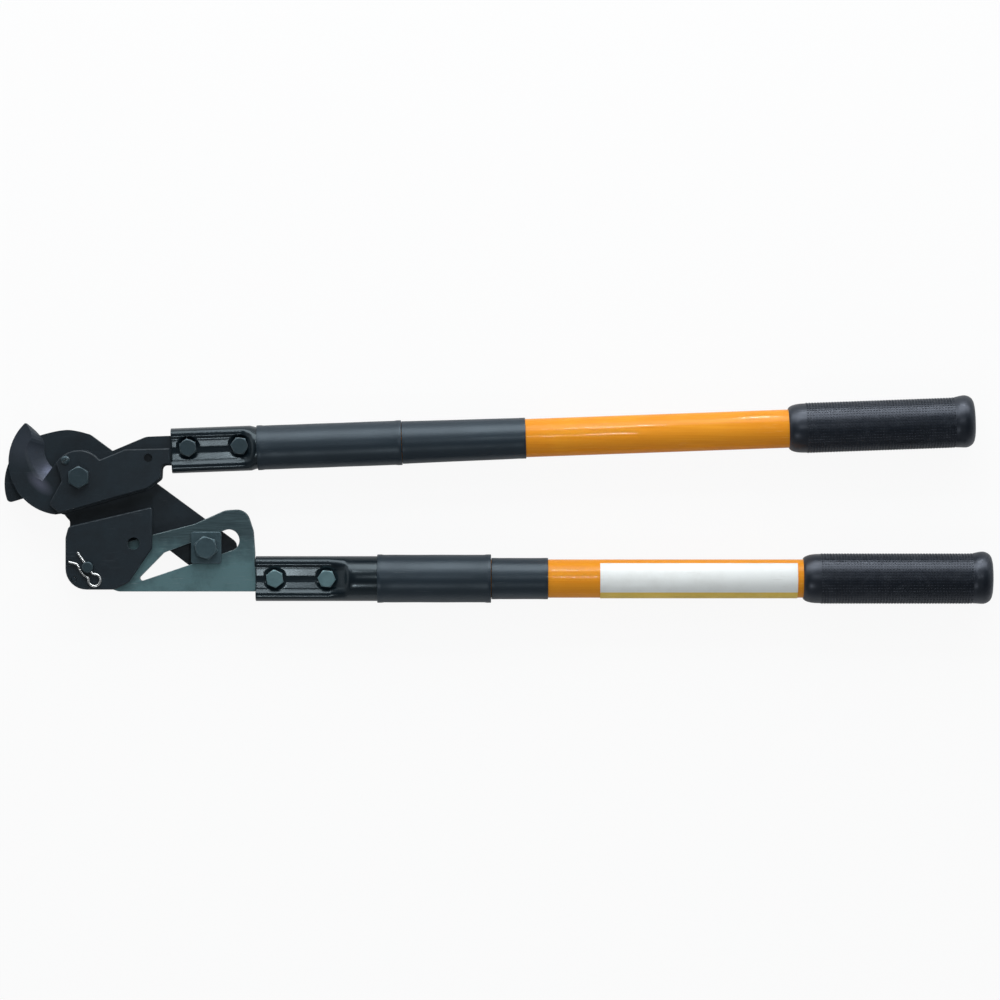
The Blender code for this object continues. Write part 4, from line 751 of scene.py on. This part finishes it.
def press(pipe, channel_end, bolts):
    """Press a pipe along Z flat round a tang: a channel down its front and back, with a dimple at each
    bolt."""
    bed, blend = 6.15 * mm, 3.5 * mm
    slope_from, slope_run, slope_rise = 2.0 * mm, 6.2 * mm, 2.0 * mm
    lip_from, lip_to, lip_rise = 8.4 * mm, 12.0 * mm, 1.7 * mm
    dimple, dimple_edge = 7.5 * mm, 9.4 * mm
    for vertex in pipe.data.vertices:
        depth, across, along = vertex.co
        rise = slope_rise * held((abs(across) - slope_from) / slope_run)
        rise += lip_rise * eased(abs(across), lip_from, lip_to)
        for station, offset in bolts:
            rise *= eased(math.hypot(along - station, across - offset), dimple, dimple_edge)
        pressed = bed + rise
        share = held(0.5 + (abs(depth) - pressed) / (2 * blend))
        round_over = abs(depth) + share * (pressed - abs(depth)) - blend * share * (1 - share)
        kept = eased(along, channel_end - 9 * mm, channel_end + 3 * mm)
        vertex.co.x = math.copysign(round_over + kept * (abs(depth) - round_over), depth)


def copied(made, name):
    """Another of a piece, with its own mesh."""
    twin = made.copy()
    twin.data = made.data.copy()
    twin.name = twin.data.name = name
    bpy.context.scene.collection.objects.link(twin)
    return twin


# Each handle's body, the middle of its ferrule's mouth, and how its axis is turned from Z
HANDLES = {
    "upper": ("fixed_half", (-264.042 * mm, 39.961 * mm, 22.0 * mm), (0.0, math.pi / 2, math.radians(2.07))),
    "lower": ("swinging_half", (-195.942 * mm, -63.439 * mm, 22.0 * mm), (0.0, math.pi / 2, 0.0))}


def fit_along(made, side, node, slot, coat):
    """Lay a piece that was made along Z on its handle's axis, and fit it there."""
    body, mouth, turn = HANDLES[side]
    set_down(made, mouth, turn)
    fit(made, body, node, slot, coat)


# All four bolts are alike, and so are their nuts: each is modelled once and copied
low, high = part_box("upper_ferrule_bolt_front")
nut_low, nut_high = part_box("upper_ferrule_nut_front")
bolt = hex_bolt("ferrule_bolt", flats=13.0 * mm, shank=4.0 * mm, tip=low.z, thread_end=nut_high.z,
                seat=high.z - 5.0 * mm, top=high.z)
nut = hex_nut("ferrule_nut", flats=13.0 * mm, bore=4.2 * mm, low=nut_low.z, high=nut_high.z)

MOUTH_RADIUS, PIPE_END = 18.2 * mm, 185.0 * mm
RING, CHANNEL_RINGS, NECK_STEPS = 1.2, 52, 4  # the rings' spacing in mm, and how many
for side, pipe_radius, channel_end, bolts, steel in (
        ("upper", 16.9 * mm, 66.0 * mm, [(13.5 * mm, 2.0 * mm), (55.5 * mm, 2.0 * mm)], oxide_steel),
        ("lower", 18.2 * mm, 74.0 * mm, [(15.6 * mm, 0.0), (57.6 * mm, 0.0)], phosphate)):
    stations = [(step * RING * mm, MOUTH_RADIUS) for step in range(CHANNEL_RINGS)]
    for step in range(NECK_STEPS + 1):
        radius = MOUTH_RADIUS + (pipe_radius - MOUTH_RADIUS) * step / NECK_STEPS
        stations.append((channel_end - 2 * mm + step * RING * mm, radius))
    stations += [(channel_end + 8 * mm, pipe_radius), (PIPE_END, pipe_radius)]
    ferrule = turned(side + "_ferrule_shown", stations, sides=144, ends="open")
    press(ferrule, channel_end, bolts)
    wall = ferrule.modifiers.new("wall", "SOLIDIFY")
    wall.thickness = 1.4 * mm
    wall.offset = -1.0
    apply_last(ferrule)
    soften(ferrule, 0.4 * mm, angle=60, smooth=50)
    fit_along(ferrule, side, side + "_ferrule", "black_steel", enamel)
    for end, bolt_turn in (("front", 7), ("rear", 24)):
        for kind, model, degrees in (("bolt", bolt, bolt_turn), ("nut", nut, 15)):
            node = f"{side}_ferrule_{kind}_{end}"
            low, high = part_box(node)
            made = copied(model, node + "_shown")
            stand(made, (low + high) / 2, degrees)
            fit(made, HANDLES[side][0], node, "bolt_steel", steel)
for model in (bolt, nut):
    bpy.data.objects.remove(model, do_unlink=True)


# Insulation. Black heat-shrink sleeves over the ferrules' pipes and the first length of tube, in two layers
# whose cut ends stand up in a thin bead.
shrink_sleeve, tree, shader = finish("shrink_sleeve")
grain = use(tree, forge_grain, Scale=260.0)
scratch = use(tree, scuffs, Scale=40.0, Amount=0.6)["Mask"]
skin = blended(tree, grain["Tone"], (0.0075, 0.0138, 0.0206), (0.013, 0.0215, 0.0306))
feed(tree, shader, {
    "Base Color": layered(tree, skin, (scratch, (0.07, 0.078, 0.085))),
    "Roughness": ranged(tree, grain["Tone"], 0.0, 1.0, 0.44, 0.34),
    "Specular Tint": (0.8, 0.92, 1.0, 1.0),
    "Normal": bumped(tree, grain["Height"], 0.18, 0.3 * mm)})


def shrunk(start, end, first, last, bead, waves):
    """A profile that shrinks unevenly between two beaded ends; waves are high and low spots as (station,
    rise), and all is given in mm."""
    start, end, first, last, bead = (value * mm for value in (start, end, first, last, bead))
    profile = [(start, first + 0.5 * bead), (start + 0.5 * mm, first + bead)]
    profile += [(start + 3.5 * mm, first + bead), (start + 5.5 * mm, first)]
    for station, rise in waves:
        share = (station * mm - start) / (end - start)
        profile.append((station * mm, first + share * (last - first) + rise * mm))
    profile += [(end - 5.5 * mm, last), (end - 3.5 * mm, last + bead), (end - 0.5 * mm, last + bead)]
    return profile + [(end, last + 0.5 * bead)]


# Each sleeve's handle and place, its bore, and its outside from end to end
for side, layer, bore, outside in (
        ("upper", "front", 17.2 * mm, shrunk(69.3, 186.3, 17.9, 17.9, 0.3, (
            (84, 0.05), (101, -0.04), (118, 0.06), (137, -0.03), (160, 0.05)))),
        ("upper", "rear", 15.8 * mm, shrunk(186.6, 286.7, 17.2, 16.5, 0.08, (
            (205, 0.03), (228, -0.03), (252, 0.03), (271, 0.0)))),
        ("lower", "thick", 18.5 * mm, shrunk(98.3, 190.4, 19.3, 19.3, 0.3, (
            (112, 0.05), (130, -0.04), (151, 0.06), (170, -0.03)))),
        ("lower", "thin", 15.8 * mm, shrunk(190.7, 236.5, 16.7, 16.7, 0.08, (
            (204, 0.03), (218, -0.03))))):
    stations = outside + [(outside[-1][0], bore), (outside[0][0], bore)]
    node = f"{side}_sleeve_{layer}"
    made = turned(node + "_shown", stations, sides=72, ends="bridged")
    soften(made, 0.25 * mm, segments=2, smooth=30)
    fit_along(made, side, node, "black_sleeve", shrink_sleeve)


# Tubes. Pultruded fibreglass in a clear-coated orange, with glass strands running lengthwise under the
# gloss; each slips into its ferrule at one end and into its grip at the other.
fibreglass, tree, shader = finish("orange_fibreglass")
place = own_place(tree)
strands = noise(tree, stretched(tree, place, (9.0, 1500.0, 1500.0)), 1.0, 6.0, 0.6)
cloud = noise(tree, place, 28.0, 4.0)
scratch = use(tree, scuffs, Scale=45.0, Amount=0.35)["Mask"]
orange = blended(tree, ranged(tree, strands, 0.35, 0.65), (0.71, 0.248, 0.014), (0.79, 0.315, 0.023))
feed(tree, shader, {
    "Base Color": layered(tree, orange, (ranged(tree, cloud, 0.35, 0.7, 0.0, 0.35), (0.64, 0.193, 0.012)),
                          (scratch, (0.85, 0.5, 0.2))),
    "Roughness": ranged(tree, strands, 0.3, 0.7, 0.42, 0.32),
    "Specular IOR Level": 0.05,
    "Coat Weight": 0.25,
    "Coat Roughness": 0.04,
    "Normal": bumped(tree, strands, 0.08, 0.08 * mm)})

bore, rim, outside, chamfer = 12.5 * mm, 14.9 * mm, 15.5 * mm, 0.6 * mm
for side, start, end in (("upper", 72.4 * mm, 644.1 * mm), ("lower", 78.7 * mm, 589.9 * mm)):
    stations = [(start, bore), (start, rim), (start + chamfer, outside)]
    stations += [(end - chamfer, outside), (end, rim), (end, bore)]
    tube = turned(side + "_tube_shown", stations, sides=96, ends="bridged")
    bpy.ops.object.shade_smooth_by_angle(angle=math.radians(30))
    fit_along(tube, side, side + "_tube", "orange_tube", fibreglass)


# Label. A white vinyl sticker wrapped round the front of the lower tube, with a plain yellow strip along
# its lower edge and a faint wear over both; it is cut square and holds by its own glue.
sticker, tree, shader = finish("white_sticker")
place = own_place(tree)
rub = noise(tree, place, 55.0, 6.0, 0.65)
rubbed = ranged(tree, rub, 0.45, 0.75)
scratch = use(tree, scuffs, Scale=60.0, Amount=0.5)["Mask"]
strip = ranged(tree, split(tree, place)["Y"], -74.4 * mm, -74.6 * mm)
white = blended(tree, rubbed, (0.8, 0.815, 0.795), (0.72, 0.727, 0.7))
yellow = blended(tree, rubbed, (0.78, 0.53, 0.065), (0.66, 0.45, 0.06))
feed(tree, shader, {
    "Base Color": layered(tree, white, (strip, yellow), (scratch, (0.5, 0.49, 0.45))),
    "Roughness": ranged(tree, rub, 0.3, 0.7, 0.3, 0.44),
    "Normal": bumped(tree, rub, 0.1, 0.1 * mm)})

label = start_from("lower_label", "sticker")
soften(label, 0.1 * mm, segments=2, angle=50, smooth=40)
fit(label, "swinging_half", "lower_label", "white_label", sticker)


# Grips. Moulded black rubber with rows of raised blocks round the barrel, a smooth rounded shoulder where
# the tube goes in, and a smooth flared end; they are pushed over the tubes' ends.
grip_rubber, tree, shader = finish("grip_rubber")
grain = use(tree, forge_grain, Scale=1300.0)
wear = use(tree, edge_wear, Radius=0.5 * mm, Patch_Scale=120.0, Amount=0.6)["Mask"]
rubber = blended(tree, grain["Tone"], (0.0032, 0.0055, 0.0092), (0.0062, 0.0094, 0.0146))
feed(tree, shader, {
    "Base Color": layered(tree, rubber, (wear, (0.03, 0.035, 0.043))),
    "Roughness": ranged(tree, grain["Tone"], 0.0, 1.0, 0.42, 0.33),
    "Specular IOR Level": 0.6,
    "Specular Tint": (0.82, 0.87, 1.0, 1.0),
    "Normal": bumped(tree, grain["Height"], 0.3, 0.1 * mm)})

# The profile's stations and radii in mm: the shoulder from the grip's mouth, and the flare from its end
SHOULDER = ((0.3, 15.8), (0.0, 16.3), (0.4, 17.0), (1.6, 17.9), (3.6, 18.8), (6.4, 19.5), (9.6, 19.85),
            (12.5, 19.95))
FLARE = ((-15.4, 20.4), (-12.5, 20.75), (-9.5, 21.15), (-7.4, 21.2), (-5.4, 20.8), (-3.6, 19.9),
         (-2.0, 18.6), (-0.9, 16.8), (-0.2, 14.4), (0.0, 11.5), (0.0, 0.5))
ROWS = 52
BLOCKS_ROUND = 52
LEAN = 0.7 * mm  # how far the flared end is pushed to one side
for side, start, end in (("upper", 499.8 * mm, 650.4 * mm), ("lower", 443.0 * mm, 596.2 * mm)):
    first, last = start + 14 * mm, end - 16 * mm
    stations = [(end - 6 * mm, 0.5 * mm), (end - 6 * mm, 15.8 * mm)]
    stations += [(start + along * mm, radius * mm) for along, radius in SHOULDER]
    stations += [(first + (last - first) * row / ROWS, 20.0 * mm) for row in range(ROWS + 1)]
    stations += [(end + along * mm, radius * mm) for along, radius in FLARE]
    grip = turned(side + "_grip_shown", stations, sides=BLOCKS_ROUND)
    for vertex in grip.data.vertices:
        vertex.co.y += LEAN * eased(vertex.co.z, end - 20 * mm, end - 9 * mm)
        vertex.select = False
    for edge in grip.data.edges:
        edge.select = False
    for face in grip.data.polygons:
        face.select = first < face.center.z < last and face.center.xy.length > 19 * mm
    bpy.ops.object.mode_set(mode="EDIT")
    bpy.ops.mesh.select_mode(type="FACE")
    bpy.ops.mesh.inset(use_individual=True, thickness=0.35 * mm, depth=0.0)
    bpy.ops.mesh.inset(use_individual=True, thickness=0.22 * mm, depth=0.4 * mm)
    bpy.ops.object.mode_set(mode="OBJECT")
    bpy.ops.object.shade_smooth_by_angle(angle=math.radians(40))
    fit_along(grip, side, side + "_grip", "black_rubber", grip_rubber)


# Stage. A pale floor that takes the tool's shadow, white to the camera and dim in reflections; a tall soft
# box on the upper handle's side, two small ones for the ferrules, three strips for the tubes' gloss, and a
# dim room for the fill.

def rays(tree):
    """Which rays come straight from the camera, and which by way of a mirror or glass."""
    kinds = put(tree, "LightPath", {}).outputs
    mirrored = maths(tree, "MAXIMUM", kinds["Is Glossy Ray"], kinds["Is Transmission Ray"])
    return kinds["Is Camera Ray"], mirrored


bpy.ops.mesh.primitive_plane_add(size=14.0, location=(0.0, 0.0, -0.4 * mm))
floor = bpy.context.object
floor.name = "floor"
pale, tree, shader = finish("pale_floor")
cloud = noise(tree, own_place(tree), 3.0)
feed(tree, shader, {
    "Base Color": blended(tree, cloud, (0.66, 0.66, 0.66), (0.69, 0.69, 0.69)),
    "Roughness": 0.9,
    "Specular IOR Level": 0.1})
camera_ray, mirror_ray = rays(tree)
seen = maths(tree, "MAXIMUM", maths(tree, "MULTIPLY", camera_ray, 0.92),
             maths(tree, "MULTIPLY", mirror_ray, 0.18))
glow = put(tree, "Emission", {"Color": (1.0, 1.0, 1.0, 1.0), "Strength": 1.0})
both = put(tree, "MixShader", {0: seen, 1: shader.outputs[0], 2: glow.outputs[0]})
feed(tree, tree.nodes["Material Output"], {"Surface": both.outputs[0]})
floor.data.materials.append(pale)

# Each lamp's name, place, width, height and power; it faces the tool's middle line at its own X
DAYLIGHT = (0.93, 0.97, 1.0)
for name, place, width, height, power in (
        ("tall_box", (0.0, 1.3, 0.7), 2.6, 0.8, 24.0),
        ("ferrule_box_above", (-0.29, 1.0, 1.35), 0.18, 0.16, 1.9),
        ("ferrule_box_below", (-0.29, -1.0, 1.35), 0.18, 0.16, 2.3),
        ("tube_strip_low", (0.09, 0.22, 1.6), 0.12, 0.03, 1.6),
        ("tube_strip_high", (0.085, 1.0, 0.84), 0.11, 0.03, 1.3),
        ("tube_strip_edge", (0.26, 1.5, 0.27), 0.11, 0.04, 2.6)):
    bpy.ops.object.light_add(type="AREA", location=place)
    lamp = bpy.context.object
    lamp.name = name
    lamp.data.shape = "RECTANGLE"
    lamp.data.size = width
    lamp.data.size_y = height
    lamp.data.energy = power
    lamp.data.color = DAYLIGHT
    facing = Vector((place[0], 0.0, 0.0)) - Vector(place)
    lamp.rotation_euler = facing.to_track_quat("-Z", "Y").to_euler()

# The room is white to the camera and an even fill to matt faces; in reflections it is dark overhead, and
# dimmer on the lower handle's side
FILL = 0.4
room = bpy.data.worlds.new("room")
bpy.context.scene.world = room
room.use_nodes = True
tree = room.node_tree
camera_ray, mirror_ray = rays(tree)
way = split(tree, put(tree, "TexCoord", {}).outputs["Generated"])
wall = maths(tree, "MULTIPLY", ranged(tree, way["Z"], 0.3, 0.75, 1.0, 0.1),
             ranged(tree, way["Y"], -0.4, 0.4, 0.3, 1.0))
light = maths(tree, "MULTIPLY_ADD", mirror_ray, maths(tree, "SUBTRACT", wall, FILL), FILL)
feed(tree, tree.nodes["Background"], {
    "Strength": maths(tree, "MAXIMUM", camera_ray, light),
    "Color": blended(tree, camera_ray, DAYLIGHT, (1.0, 1.0, 1.0))})

# The camera looks straight down at the tool from about four metres, through a long lens
bpy.ops.object.camera_add(location=(1.7 * mm, 0.2 * mm, 4.022))
camera = bpy.context.object
camera.data.sensor_width = 36.0
camera.data.lens = 177.8
bpy.context.scene.camera = camera
bpy.context.scene.view_settings.view_transform = "Standard"
